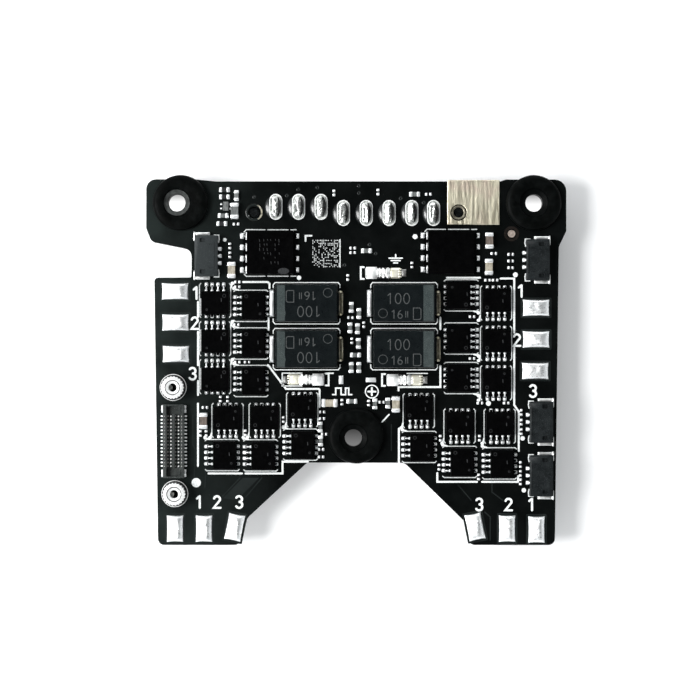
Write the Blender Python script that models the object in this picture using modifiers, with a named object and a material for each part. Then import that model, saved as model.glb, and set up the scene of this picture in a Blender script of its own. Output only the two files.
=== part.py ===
"""Electronic speed controller board for a four-motor aircraft.

Everything is placed in millimetres on a datum: X runs across the board from its centre line,
Y runs towards the battery side, and Z is measured from the board's component face.
The datum empty carries the lot so that the finished object stands on the plane Z = 0 with the
centre of its outline over the world origin.
"""

import math

import bmesh
import bpy
from mathutils import Matrix, Vector

MM = 0.001

# Board and the stack under it
BOARD_THICK = 1.2
UNDER_HEIGHT = 3.6
DATUM_SHIFT_X = -0.1
DATUM_SHIFT_Y = -0.215
SOLDER_GAP = 0.03
FIT = 0.08
BORE_CLEARANCE = 0.06
CUT_MARGIN = 0.6

# Outline of the board: x, y and corner radius, clockwise from the upper left corner
OUTLINE = (
    (-23.5, 20.54, 1.1),
    (-18.1, 20.54, 2.0),
    (-15.65, 20.29, 2.0),
    (16.3, 20.29, 0.3),
    (16.9, 20.5, 0.3),
    (23.7, 20.5, 1.3),
    (23.7, 14.7, 0.7),
    (22.86, 12.95, 0.8),
    (22.42, -20.56, 0.75),
    (12.85, -20.56, 0.7),
    (12.3, -17.95, 0.7),
    (5.5, -11.32, 1.0),
    (-5.4, -11.3, 0.6),
    (-12.15, -17.55, 0.9),
    (-12.85, -20.56, 1.0),
    (-22.17, -20.56, 0.7),
    (-22.58, 9.49, 0.45),
    (-18.4, 9.49, 0.2),
    (-18.4, 12.6, 0.9),
    (-22.9, 13.5, 0.8),
    (-23.5, 15.0, 0.6),
)

# Rubber grommets: centre of the flange, then how far the bore has settled off that centre
GROMMETS = {
    "grommet_left": ((-19.62, 17.87), (-0.42, 0.02)),
    "grommet_right": ((20.02, 17.86), (0.04, 0.0)),
    "grommet_centre": ((0.06, -8.28), (-0.28, -0.24)),
}
FLANGE_RADIUS = 3.12
FLANGE_HEIGHT = 0.95
NECK_RADIUS = 2.15
FOOT_RADIUS = 2.9
FLANGE_ROUND = (0.45, 0.12, 0.14, 0.45)
FOOT_DISC = 0.9
FOOT_TAPER = (0.4, 0.35)
GROMMET_BORE = 0.97
GROMMET_DISH = 1.55
DISH_DEPTH = 0.35
DISH_SLOPE = (0.05, 0.12)

# Small power transistors: x, y and the side their drain tab faces, in pairs for each phase
PHASES = {
    "upper_left_1": ((-15.76, 6.83, "up"), (-11.64, 6.31, "left")),
    "upper_left_2": ((-15.76, 2.53, "up"), (-11.64, 2.08, "left")),
    "upper_left_3": ((-15.76, -1.74, "up"), (-11.64, -2.13, "left")),
    "upper_right_1": ((15.81, 6.71, "down"), (11.80, 7.49, "right")),
    "upper_right_2": ((15.81, 2.19, "down"), (11.80, 2.64, "right")),
    "upper_right_3": ((15.81, -2.25, "down"), (11.80, -1.80, "right")),
    "lower_left_1": ((-14.36, -6.47, "down"), (-14.87, -10.46, "left")),
    "lower_left_2": ((-10.18, -6.47, "down"), (-10.55, -10.49, "left")),
    "lower_left_3": ((-5.97, -5.27, "down"), (-6.08, -9.28, "left")),
    "lower_right_1": ((16.22, -7.12, "down"), (16.29, -11.39, "left")),
    "lower_right_2": ((11.71, -7.10, "down"), (11.81, -11.22, "left")),
    "lower_right_3": ((7.12, -5.38, "down"), (7.27, -9.54, "left")),
}
DRAIN_TURN = {"down": 0, "right": 90, "up": 180, "left": 270}

# Packages: body length along the pin rows, body edges on the drain and source sides, body height,
# lead tip to lead tip, pin pitch, lead width, and whether one wide tab joins the drain leads
PHASE_FET = {
    "along": 3.15, "edges": (-1.1, 1.45), "height": 0.8,
    "span": 3.56, "pitch": 0.65, "lead": 0.3, "tab": False,
}
SUPPLY_FET = {
    "along": 4.85, "edges": (-2.6, 2.6), "height": 1.0,
    "span": 6.1, "pitch": 1.27, "lead": 0.42, "tab": True,
}
LEAD_THICK = 0.22
LEAD_RISE = 0.12
LEAD_EMBED = 0.2
BODY_DRAFT = 0.04
SUPPLY_FETS = {
    "battery_mosfet_left": (-9.55, 12.25, "left"),
    "battery_mosfet_right": (10.75, 12.3, "left"),
}

# Tantalum capacitors, 7343 case
CAP_CENTRES = ((5.48, 6.6), (5.48, 1.45))
CAP_LENGTH = 7.0
CAP_WIDTH = 4.25
CAP_HEIGHT = 1.9
CAP_TERMINAL = 0.15
CAP_TERMINAL_WIDTH = 2.4
CAP_TERMINAL_RISE = 1.05
CAP_DRAFT = 0.1

# Side-entry three-way sockets: x, y and the side their mouth faces
SOCKETS = {
    "signal_socket_upper_left": (-16.72, 11.91, -1),
    "signal_socket_upper_right": (20.47, 11.46, 1),
    "signal_socket_middle_right": (20.86, -6.74, 1),
    "signal_socket_lower_right": (20.86, -12.75, 1),
}
SOCKET_DEPTH = 2.6
SOCKET_WIDTH = 4.6
SOCKET_HEIGHT = 1.35
SOCKET_WALL = 0.28
SOCKET_PITCH = 0.8
SOCKET_TAIL = 0.32
SOCKET_PIN = 0.2
SOCKET_BACK = 0.7
SOCKET_EAR = (1.6, 0.35, 0.4)

# Fine-pitch connector to the flight controller above
STACK_CENTRE = (-20.39, -8.88)
STACK_SIZE = (2.3, 8.1, 1.1)
STACK_SLOT_SIZE = (1.5, 6.7, 0.8)
STACK_TONGUE_SIZE = (0.6, 5.9, 0.7)

# Solder-down threaded spacers that clamp the stacked board
SPACERS = {"spacer_upper": (-20.45, -2.85), "spacer_lower": (-20.27, -14.78)}
SPACER_BASE_RADIUS = 1.5
SPACER_RADIUS = 1.22
SPACER_BASE_HEIGHT = 0.35
SPACER_HEIGHT = 2.15
SPACER_BORE = 0.5
SPACER_CHAMFER = 0.1
SPACER_LEAD_IN = 0.18

# Spring contacts: centre, and the side their fold faces
CONTACT_SPRINGS = {
    "spring_contact_ground": (3.08, 10.0, 1),
    "spring_contact_signal": (-5.47, -1.97, -1),
    "spring_contact_supply": (5.47, -2.02, 1),
}
SPRING_LENGTH = 4.7
SPRING_WIDTH = 1.1
SPRING_RISE = 1.1
SPRING_THICK = 0.12
SPRING_FOLD = 0.33
SPRING_TIP = 0.5
SPRING_DROOP = 0.35

# Battery connector under the board: blade positions and the housing round them
BLADES = (
    (-8.93, 17.43), (-6.38, 17.43), (-3.85, 17.43), (-1.34, 16.74),
    (1.22, 16.74), (3.79, 16.74), (6.35, 16.74), (8.79, 16.74),
)
BLADE_THICK = 0.7
BLADE_TAB = 2.0
BLADE_DROP = 1.5
BLADE_FRONT = 19.5
TAB_PROUD = 0.25
PEGS = ((-11.37, 16.81), (11.58, 16.78))
PEG_RADIUS = 0.52
HOUSING_X = (-13.2, 13.4)
HOUSING_Y = (13.6, 20.0)
HOUSING_FLOOR = 0.6
HOUSING_SLOT = 1.5
HOUSING_ROOF = 0.5
PEG_SUNK = 0.12

# Nickel foil folded over the battery edge
FOIL_X = (10.33, 16.2)
FOIL_Y = 15.42
FOIL_THICK = 0.15
FOIL_HOLE = 0.9
FOIL_INSET = 0.01

# Underside parts
DRIVER_SIZE = (5.0, 5.0, 0.85)
DRIVERS = {
    "motor_driver_upper_left": (-14.2, 3.2),
    "motor_driver_upper_right": (14.2, 3.2),
    "motor_driver_lower_left": (-11.4, -8.6),
    "motor_driver_lower_right": (11.4, -8.6),
}
INDUCTOR_CENTRE = (-2.6, 6.0)
INDUCTOR_SIZE = (4.2, 4.2, 2.0)
INDUCTOR_CORNER = 0.35
SHUNT_CENTRE = (4.4, 6.0)
SHUNT_SIZE = (3.2, 6.3, 0.6)

COLOURS = {
    "solder_mask": ((0.012, 0.014, 0.015), 0.38, 0.0),
    "mould_compound": ((0.006, 0.006, 0.007), 0.45, 0.0),
    "tantalum_case": ((0.022, 0.028, 0.031), 0.5, 0.0),
    "rubber": ((0.008, 0.009, 0.009), 0.75, 0.0),
    "socket_plastic": ((0.02, 0.022, 0.026), 0.55, 0.0),
    "nickel": ((0.62, 0.6, 0.53), 0.35, 1.0),
    "tin": ((0.8, 0.8, 0.78), 0.22, 1.0),
    "contact_copper": ((0.75, 0.6, 0.38), 0.3, 1.0),
    "ferrite": ((0.05, 0.05, 0.052), 0.7, 0.0),
    "shunt_metal": ((0.12, 0.12, 0.125), 0.5, 0.6),
}


def clear_scene():
    """Remove every object of the open scene."""
    for obj in list(bpy.data.objects):
        bpy.data.objects.remove(obj, do_unlink=True)


def new_collection(name):
    """Make a collection in the scene."""
    collection = bpy.data.collections.new(name)
    bpy.context.scene.collection.children.link(collection)
    return collection


def finish(name):
    """The Principled material of one finish."""
    material = bpy.data.materials.get(name)
    if material:
        return material
    colour, roughness, metallic = COLOURS[name]
    material = bpy.data.materials.new(name)
    material.use_nodes = True
    shader = material.node_tree.nodes["Principled BSDF"]
    shader.inputs["Base Color"].default_value = (*colour, 1.0)
    shader.inputs["Roughness"].default_value = roughness
    shader.inputs["Metallic"].default_value = metallic
    material.diffuse_color = (*colour, 1.0)
    return material


def place(name, mesh, at, slot=None, turn=0.0):
    """Stand a mesh on the datum as a named part, or as a hidden cutter when it has no finish."""
    obj = bpy.data.objects.new(name, mesh)
    obj.parent = datum
    obj.location = Vector(at) * MM
    obj.rotation_euler = (0.0, 0.0, math.radians(turn))
    if slot:
        if not mesh.materials:
            mesh.materials.append(finish(slot))
        parts.objects.link(obj)
    else:
        obj.hide_render = True
        obj.display_type = "WIRE"
        cutters.objects.link(obj)
    return obj


def mesh_from(build, name):
    """Turn a filled bmesh in millimetres into mesh data in metres."""
    bmesh.ops.scale(build, vec=(MM, MM, MM), verts=build.verts)
    mesh = bpy.data.meshes.new(name)
    build.to_mesh(mesh)
    build.free()
    return mesh


def add_box(build, size, centre, draft=0.0):
    """Add a box whose top is drawn in by the draft on every side."""
    made = bmesh.ops.create_cube(build, size=1.0)["verts"]
    bmesh.ops.scale(build, vec=size, verts=made)
    for vert in made:
        if vert.co.z > 0:
            vert.co.x -= math.copysign(draft, vert.co.x)
            vert.co.y -= math.copysign(draft, vert.co.y)
    bmesh.ops.translate(build, vec=centre, verts=made)


def box_mesh(name, *boxes):
    """Mesh data holding one or more boxes, each a size and a centre."""
    build = bmesh.new()
    for box in boxes:
        add_box(build, *box)
    return mesh_from(build, name)


def drum_mesh(name, radius, bottom, top, segments=32):
    """Mesh data of one upright cylinder."""
    build = bmesh.new()
    bmesh.ops.create_cone(
        build, cap_ends=True, segments=segments, radius1=radius, radius2=radius, depth=top - bottom
    )
    bmesh.ops.translate(build, vec=(0, 0, (top + bottom) / 2), verts=build.verts)
    return mesh_from(build, name)


def turned_mesh(name, profile, steps=40):
    """Spin a profile of radius and height, listed down its outer side, into a closed solid."""
    build = bmesh.new()
    verts = [build.verts.new((radius * MM, 0.0, height * MM)) for radius, height in profile]
    for first, second in zip(verts, verts[1:]):
        build.edges.new((first, second))
    mesh = bpy.data.meshes.new(name)
    build.to_mesh(mesh)
    build.free()
    obj = bpy.data.objects.new(name + "_spin", mesh)
    bpy.context.scene.collection.objects.link(obj)
    spin = obj.modifiers.new("spin", "SCREW")
    spin.steps = steps
    spin.render_steps = steps
    spin.use_merge_vertices = True
    spin.merge_threshold = 0.000001
    return baked(obj)


def baked(obj):
    """Take an object's evaluated mesh and drop the object."""
    bpy.context.view_layer.update()
    evaluated = obj.evaluated_get(bpy.context.evaluated_depsgraph_get())
    mesh = bpy.data.meshes.new_from_object(evaluated)
    mesh.name = obj.name + "_shape"
    bpy.data.objects.remove(obj, do_unlink=True)
    return mesh


def boolean(obj, other, operation):
    """Cut a part with another object, or join the two."""
    modifier = obj.modifiers.new(other.name, "BOOLEAN")
    modifier.operation = operation
    modifier.object = other
    modifier.solver = "EXACT"


def rounded(corners, arc_steps=5):
    """Points of a closed outline whose corners are replaced by tangent arcs."""
    points = []
    count = len(corners)
    for index, (x, y, radius) in enumerate(corners):
        corner = Vector((x, y))
        before = (Vector(corners[index - 1][:2]) - corner).normalized()
        after = (Vector(corners[(index + 1) % count][:2]) - corner).normalized()
        half = before.angle(after) / 2
        centre = corner + (before + after).normalized() * (radius / math.sin(half))
        start = corner + before * (radius / math.tan(half)) - centre
        sweep = start.angle_signed(corner + after * (radius / math.tan(half)) - centre)
        for step in range(arc_steps + 1):
            points.append(centre + Matrix.Rotation(-sweep * step / arc_steps, 2) @ start)
    return points


def sheet_mesh(name, points, bottom, top):
    """A flat plate: a filled 2D curve, extruded, welded and turned into mesh data."""
    curve = bpy.data.curves.new(name, "CURVE")
    curve.dimensions = "2D"
    curve.fill_mode = "BOTH"
    curve.extrude = (top - bottom) / 2 * MM
    spline = curve.splines.new("POLY")
    spline.points.add(len(points) - 1)
    for point, (x, y) in zip(spline.points, points):
        point.co = (x * MM, y * MM, 0.0, 1.0)
    spline.use_cyclic_u = True
    obj = bpy.data.objects.new(name + "_curve", curve)
    bpy.context.scene.collection.objects.link(obj)
    mesh = baked(obj)
    build = bmesh.new()
    build.from_mesh(mesh)
    bmesh.ops.remove_doubles(build, verts=build.verts, dist=0.000001)
    bmesh.ops.translate(build, vec=(0, 0, (top + bottom) / 2 * MM), verts=build.verts)
    build.to_mesh(mesh)
    build.free()
    mesh.materials.clear()
    return mesh


def slot_points(x, y, width, length, arc_steps=6):
    """Outline of a slot with round ends that runs along Y."""
    radius = width / 2
    reach = length / 2 - radius
    points = []
    for side in (1, -1):
        for step in range(arc_steps + 1):
            angle = math.pi * step / arc_steps + (0 if side > 0 else math.pi)
            points.append((x + radius * math.cos(angle), y + side * reach + radius * math.sin(angle)))
    return points


def make_board():
    """The circuit board with every hole that passes through it."""
    through = (-BOARD_THICK - CUT_MARGIN, CUT_MARGIN)
    board = place("circuit_board", sheet_mesh("board", rounded(OUTLINE), -BOARD_THICK, 0.0),
                  (0, 0, 0), "solder_mask")
    bore = drum_mesh("grommet_hole", NECK_RADIUS + BORE_CLEARANCE, *through, segments=40)
    for name, (centre, _) in GROMMETS.items():
        boolean(board, place(name + "_hole", bore, (*centre, 0)), "DIFFERENCE")
    peg_bore = drum_mesh("peg_hole", PEG_RADIUS + 2 * BORE_CLEARANCE, *through, segments=24)
    for index, centre in enumerate(PEGS):
        boolean(board, place(f"peg_hole_{index + 1}", peg_bore, (*centre, 0)), "DIFFERENCE")
    slot = sheet_mesh(
        "blade_slot",
        slot_points(0, 0, BLADE_THICK + 4 * BORE_CLEARANCE, BLADE_TAB + 8 * BORE_CLEARANCE),
        *through,
    )
    for index, centre in enumerate(BLADES):
        boolean(board, place(f"blade_slot_{index + 1}", slot, (*centre, 0)), "DIFFERENCE")


def make_grommets():
    """Rubber grommets: a flange on the board, a neck through it and a taller foot below."""
    under = -BOARD_THICK - SOLDER_GAP
    foot = -BOARD_THICK - UNDER_HEIGHT
    top_in, side_in, top_drop, side_drop = FLANGE_ROUND
    taper_in, taper_drop = FOOT_TAPER
    outside = (
        (0.0, FLANGE_HEIGHT),
        (FLANGE_RADIUS - top_in, FLANGE_HEIGHT),
        (FLANGE_RADIUS - side_in, FLANGE_HEIGHT - top_drop),
        (FLANGE_RADIUS, FLANGE_HEIGHT - side_drop),
        (FLANGE_RADIUS, SOLDER_GAP),
        (NECK_RADIUS, SOLDER_GAP),
        (NECK_RADIUS, under),
        (FOOT_RADIUS, under),
        (FOOT_RADIUS, under - FOOT_DISC),
        (FOOT_RADIUS - taper_in, under - FOOT_DISC - taper_drop),
        (FOOT_RADIUS - taper_in, foot),
        (0.0, foot),
    )
    dish_out, dish_drop = DISH_SLOPE
    inside = (
        (0.0, FLANGE_HEIGHT + CUT_MARGIN),
        (GROMMET_DISH + dish_out, FLANGE_HEIGHT + CUT_MARGIN),
        (GROMMET_DISH, FLANGE_HEIGHT - DISH_DEPTH),
        (GROMMET_BORE, FLANGE_HEIGHT - DISH_DEPTH - dish_drop),
        (GROMMET_BORE, foot - CUT_MARGIN),
        (0.0, foot - CUT_MARGIN),
    )
    body = turned_mesh("grommet_body", outside)
    bore = turned_mesh("grommet_bore", inside)
    body.shade_smooth()
    body.set_sharp_from_angle(angle=math.radians(40))
    for name, (centre, settled) in GROMMETS.items():
        grommet = place(name, body, (*centre, 0), "rubber")
        at = (centre[0] + settled[0], centre[1] + settled[1], 0)
        boolean(grommet, place(name + "_bore", bore, at), "DIFFERENCE")


def fet_mesh(name, size):
    """A flat power package: moulded body, four source leads at +Y and the drain leads at -Y."""
    drain_edge, source_edge = size["edges"]
    body = place(name + "_body", box_mesh(name, (
        (size["along"], source_edge - drain_edge, size["height"]),
        (0, (source_edge + drain_edge) / 2, size["height"] / 2),
        BODY_DRAFT,
    )), (0, 0, 0))
    pin_places = [(step - 1.5) * size["pitch"] for step in range(4)]
    leads = []
    for side, edge in ((-1, drain_edge), (1, source_edge)):
        reach = size["span"] / 2 - abs(edge) + LEAD_EMBED
        centre_y = side * (size["span"] - reach) / 2
        if side < 0 and size["tab"]:
            tab_width = 3 * size["pitch"] + size["lead"]
            leads.append(((tab_width, reach, LEAD_THICK), (0, centre_y, LEAD_RISE)))
        else:
            leads += [((size["lead"], reach, LEAD_THICK), (x, centre_y, LEAD_RISE)) for x in pin_places]
    boolean(body, place(name + "_leads", box_mesh(name + "_leads", *leads), (0, 0, 0)), "UNION")
    mesh = baked(body)
    mesh.materials.clear()
    return mesh


def make_transistors():
    """The twenty-four phase transistors and the two that switch the battery."""
    small = fet_mesh("phase_fet", PHASE_FET)
    for phase, pair in PHASES.items():
        for side, (x, y, drain) in zip(("high", "low"), pair):
            place(f"mosfet_{phase}_{side}", small, (x, y, SOLDER_GAP), "mould_compound",
                  DRAIN_TURN[drain])
    large = fet_mesh("supply_fet", SUPPLY_FET)
    for name, (x, y, drain) in SUPPLY_FETS.items():
        place(name, large, (x, y, SOLDER_GAP), "mould_compound", DRAIN_TURN[drain])


def make_capacitors():
    """Tantalum capacitors: a moulded case with a bent terminal at each end."""
    body = place("capacitor_body", box_mesh(
        "capacitor", ((CAP_LENGTH, CAP_WIDTH, CAP_HEIGHT), (0, 0, CAP_HEIGHT / 2), CAP_DRAFT)
    ), (0, 0, 0))
    rise = CAP_TERMINAL_RISE
    thick = CAP_TERMINAL + CAP_DRAFT + FIT
    ends = [
        ((thick, CAP_TERMINAL_WIDTH, rise), (side * (CAP_LENGTH / 2 + CAP_TERMINAL - thick / 2), 0,
                                             rise / 2 + 0.01))
        for side in (1, -1)
    ]
    boolean(body, place("capacitor_ends", box_mesh("capacitor_ends", *ends), (0, 0, 0)), "UNION")
    mesh = baked(body)
    mesh.materials.clear()
    for side, side_name in ((-1, "left"), (1, "right")):
        for row_name, (x, y) in zip(("upper", "lower"), CAP_CENTRES):
            place(f"capacitor_{row_name}_{side_name}", mesh, (side * x, y, SOLDER_GAP),
                  "tantalum_case", 180 if side < 0 else 0)


def socket_mesh():
    """A side-entry socket with its mouth at +X: shell, cavity, three pins and two solder ears."""
    half = SOCKET_DEPTH / 2
    shell = place("socket_shell", box_mesh(
        "socket", ((SOCKET_DEPTH, SOCKET_WIDTH, SOCKET_HEIGHT), (0, 0, SOCKET_HEIGHT / 2))
    ), (0, 0, 0))
    cavity_size = (SOCKET_DEPTH, SOCKET_WIDTH - 4 * SOCKET_WALL, SOCKET_HEIGHT - 2 * SOCKET_WALL)
    cavity = box_mesh("socket_cavity", (cavity_size, (SOCKET_BACK, 0, SOCKET_HEIGHT / 2)))
    boolean(shell, place("socket_cavity", cavity, (0, 0, 0)), "DIFFERENCE")
    pin_length = SOCKET_DEPTH - SOCKET_BACK
    tail_rise = SOCKET_HEIGHT / 2
    tail_length = SOCKET_TAIL + SOCKET_WALL
    rows = [step * SOCKET_PITCH for step in (-1, 0, 1)]
    pins = [
        ((pin_length, SOCKET_PIN, SOCKET_PIN), ((pin_length - SOCKET_DEPTH) / 2 + FIT, y, tail_rise))
        for y in rows
    ]
    feet = [
        ((tail_length, 1.4 * SOCKET_PIN, tail_rise),
         (tail_length / 2 - half - SOCKET_TAIL, y, tail_rise / 2 + 0.01))
        for y in rows
    ]
    feet += [
        ((SOCKET_EAR[0], 2 * SOCKET_EAR[1], SOCKET_EAR[2]),
         (half - SOCKET_EAR[0] / 2 + 0.05, side * SOCKET_WIDTH / 2, SOCKET_EAR[2] / 2 + 0.01))
        for side in (-1, 1)
    ]
    for part_name, boxes in (("socket_pins", pins), ("socket_feet", feet)):
        boolean(shell, place(part_name, box_mesh(part_name, *boxes), (0, 0, 0)), "UNION")
    mesh = baked(shell)
    mesh.materials.clear()
    return mesh


def make_sockets():
    """Four sockets for the motor sensor and camera leads, mouths at the board's edges."""
    mesh = socket_mesh()
    for name, (x, y, side) in SOCKETS.items():
        place(name, mesh, (x, y, SOLDER_GAP), "socket_plastic", 0 if side > 0 else 180)


def make_stack_connector():
    """The low two-row connector: a shell with a sunk slot and a tongue standing in it."""
    width, length, height = STACK_SIZE
    shell = place("stacking_connector", box_mesh(
        "stacking_connector", (STACK_SIZE, (0, 0, height / 2))
    ), (*STACK_CENTRE, SOLDER_GAP), "socket_plastic")
    floor = height - STACK_SLOT_SIZE[2]
    slot = box_mesh("stacking_slot", (
        (*STACK_SLOT_SIZE[:2], STACK_SLOT_SIZE[2] + CUT_MARGIN),
        (0, 0, floor + (STACK_SLOT_SIZE[2] + CUT_MARGIN) / 2),
    ))
    boolean(shell, place("stacking_slot", slot, (*STACK_CENTRE, SOLDER_GAP)), "DIFFERENCE")
    tongue = box_mesh("stacking_tongue", (
        STACK_TONGUE_SIZE, (0, 0, floor - FIT + STACK_TONGUE_SIZE[2] / 2)
    ))
    boolean(shell, place("stacking_tongue", tongue, (*STACK_CENTRE, SOLDER_GAP)), "UNION")


def make_spacers():
    """Tinned brass nuts with a wide base and a lead-in at the top of the bore."""
    profile = (
        (SPACER_BORE + SPACER_LEAD_IN, SPACER_HEIGHT),
        (SPACER_RADIUS - SPACER_CHAMFER, SPACER_HEIGHT),
        (SPACER_RADIUS, SPACER_HEIGHT - SPACER_CHAMFER),
        (SPACER_RADIUS, SPACER_BASE_HEIGHT),
        (SPACER_BASE_RADIUS, SPACER_BASE_HEIGHT),
        (SPACER_BASE_RADIUS, 0.0),
        (SPACER_BORE, 0.0),
        (SPACER_BORE, SPACER_HEIGHT - SPACER_LEAD_IN),
        (SPACER_BORE + SPACER_LEAD_IN, SPACER_HEIGHT),
    )
    mesh = turned_mesh("spacer", profile, steps=36)
    mesh.shade_smooth()
    mesh.set_sharp_from_angle(angle=math.radians(30))
    for name, centre in SPACERS.items():
        place(name, mesh, (*centre, SOLDER_GAP), "tin")


def spring_mesh():
    """A leaf contact in side view: flat base, fold at +X, arched leaf back over the base."""
    half = SPRING_LENGTH / 2
    start = half - SPRING_FOLD
    end = SPRING_TIP - half
    fold_steps = 8
    line = [(-half, 0.0), (start, 0.0)]
    for step in range(1, fold_steps):
        angle = math.pi * step / fold_steps
        line.append((start + SPRING_FOLD * math.sin(angle), SPRING_FOLD * (1 - math.cos(angle))))
    crown_steps = 9
    for step in range(crown_steps + 1):
        share = step / crown_steps
        arch = math.sin(math.pi * share) * (SPRING_RISE - 2 * SPRING_FOLD)
        line.append((start + (end - start) * share, 2 * SPRING_FOLD * (1 - SPRING_DROOP * share) + arch))
    build = bmesh.new()
    rows = []
    for side in (-1, 1):
        rows.append([
            build.verts.new((x, side * SPRING_WIDTH / 2, height + SPRING_THICK / 2))
            for x, height in line
        ])
    for index in range(len(line) - 1):
        build.faces.new((rows[0][index], rows[0][index + 1], rows[1][index + 1], rows[1][index]))
    ribbon = bpy.data.objects.new("spring_ribbon", mesh_from(build, "spring_ribbon"))
    bpy.context.scene.collection.objects.link(ribbon)
    skin = ribbon.modifiers.new("thickness", "SOLIDIFY")
    skin.thickness = SPRING_THICK * MM
    skin.offset = 0.0
    return baked(ribbon)


def make_spring_contacts():
    """Three leaf contacts for test probes and the battery sense line."""
    mesh = spring_mesh()
    for name, (x, y, side) in CONTACT_SPRINGS.items():
        place(name, mesh, (x, y, SOLDER_GAP), "tin", 0 if side > 0 else 180)


def make_blades():
    """Battery blades: a plate in the housing with a tab that stands up through the board."""
    plate_top = -BOARD_THICK - HOUSING_ROOF
    plate_low = plate_top - BLADE_DROP
    tab_low = plate_top - BLADE_DROP / 2
    for index, (x, y) in enumerate(BLADES):
        back = -BLADE_TAB / 2
        front = BLADE_FRONT - y
        plate = box_mesh("blade_plate", (
            (BLADE_THICK - FIT, front - back - FIT, BLADE_DROP),
            (0, (front + back) / 2, (plate_top + plate_low) / 2),
        ))
        tab = box_mesh("blade_tab", (
            (BLADE_THICK, BLADE_TAB, TAB_PROUD - tab_low), (0, 0, (TAB_PROUD + tab_low) / 2)
        ))
        blade = place(f"battery_blade_{index + 1}", plate, (x, y, 0), "contact_copper")
        boolean(blade, place(f"blade_tab_{index + 1}", tab, (x, y, 0)), "UNION")


def make_housing():
    """The battery connector's housing, open at the battery edge, with two pegs through the board."""
    top = -BOARD_THICK - SOLDER_GAP
    bottom = -BOARD_THICK - UNDER_HEIGHT
    size = (HOUSING_X[1] - HOUSING_X[0], HOUSING_Y[1] - HOUSING_Y[0], top - bottom)
    centre = ((HOUSING_X[0] + HOUSING_X[1]) / 2, (HOUSING_Y[0] + HOUSING_Y[1]) / 2)
    housing = place("battery_connector_housing",
                    box_mesh("housing", (size, (0, 0, (top + bottom) / 2))),
                    (*centre, 0), "socket_plastic")
    mouth_low = bottom + HOUSING_FLOOR
    mouth_top = top - HOUSING_ROOF + 2 * FIT
    for index, (x, y) in enumerate(BLADES):
        back = -BLADE_TAB / 2 - 2 * FIT
        front = HOUSING_Y[1] + CUT_MARGIN - y
        mouth = box_mesh("mouth", (
            (HOUSING_SLOT, front - back, mouth_top - mouth_low),
            (0, (front + back) / 2, (mouth_top + mouth_low) / 2),
        ))
        riser = box_mesh("riser", (
            (BLADE_THICK + 2 * FIT, BLADE_TAB + 4 * FIT, 2 * HOUSING_ROOF), (0, 0, top)
        ))
        boolean(housing, place(f"mouth_{index + 1}", mouth, (x, y, 0)), "DIFFERENCE")
        boolean(housing, place(f"riser_{index + 1}", riser, (x, y, 0)), "DIFFERENCE")
    peg = drum_mesh("peg", PEG_RADIUS, top - HOUSING_ROOF / 2, -PEG_SUNK, segments=24)
    for index, at in enumerate(PEGS):
        boolean(housing, place(f"peg_{index + 1}", peg, (*at, 0)), "UNION")


def make_foil():
    """Nickel foil that lies on the board round one peg and folds down over the battery edge."""
    edge = OUTLINE[3][1]
    width = FOIL_X[1] - FOIL_X[0]
    middle = (FOIL_X[0] + FOIL_X[1]) / 2
    outer = edge + SOLDER_GAP + FOIL_THICK
    level = SOLDER_GAP + FOIL_THICK / 2
    flat = ((width, outer - FOIL_Y, FOIL_THICK), (0, (outer + FOIL_Y) / 2, level))
    foil = place("earthing_foil", box_mesh("foil", flat), (middle, 0, 0), "nickel")
    flap = ((width - FOIL_INSET, FOIL_THICK, BOARD_THICK),
            (0, outer - (FOIL_THICK + FOIL_INSET) / 2, level - BOARD_THICK / 2))
    boolean(foil, place("foil_flap", box_mesh("foil_flap", flap), (middle, 0, 0)), "UNION")
    hole = drum_mesh("foil_hole", FOIL_HOLE, -CUT_MARGIN, CUT_MARGIN, segments=32)
    boolean(foil, place("foil_hole", hole, (*PEGS[1], 0)), "DIFFERENCE")


def make_underside():
    """Motor drivers, the regulator's inductor and the current shunt, hanging under the board."""
    under = -BOARD_THICK - SOLDER_GAP
    driver = box_mesh("motor_driver", (DRIVER_SIZE, (0, 0, -DRIVER_SIZE[2] / 2)))
    for name, centre in DRIVERS.items():
        place(name, driver, (*centre, under), "mould_compound")
    inductor = box_mesh("inductor", (INDUCTOR_SIZE, (0, 0, -INDUCTOR_SIZE[2] / 2)))
    obj = place("regulator_inductor", inductor, (*INDUCTOR_CENTRE, under), "ferrite")
    bevel = obj.modifiers.new("corners", "BEVEL")
    bevel.width = INDUCTOR_CORNER * MM
    bevel.segments = 2
    shunt = box_mesh("shunt", (SHUNT_SIZE, (0, 0, -SHUNT_SIZE[2] / 2)))
    place("current_shunt", shunt, (*SHUNT_CENTRE, under), "shunt_metal")


clear_scene()
parts = new_collection("speed_controller")
cutters = new_collection("speed_controller_cutters")
datum = bpy.data.objects.new("board_datum", None)
datum.location = Vector((DATUM_SHIFT_X, DATUM_SHIFT_Y, BOARD_THICK + UNDER_HEIGHT)) * MM
parts.objects.link(datum)

make_board()
make_grommets()
make_transistors()
make_capacitors()
make_sockets()
make_stack_connector()
make_spacers()
make_spring_contacts()
make_blades()
make_housing()
make_foil()
make_underside()
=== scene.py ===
"""Looks for the electronic speed controller: fine surfaces, solder, print and a studio.

Lengths are millimetres unless a name says otherwise. Board coordinates start over the middle of
the circuit board's box: X and Y run as in the frame, and Z is measured from the top face.
"""

import itertools
import math
import random

import bmesh
import bpy
from mathutils import Matrix, Vector, noise


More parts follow.
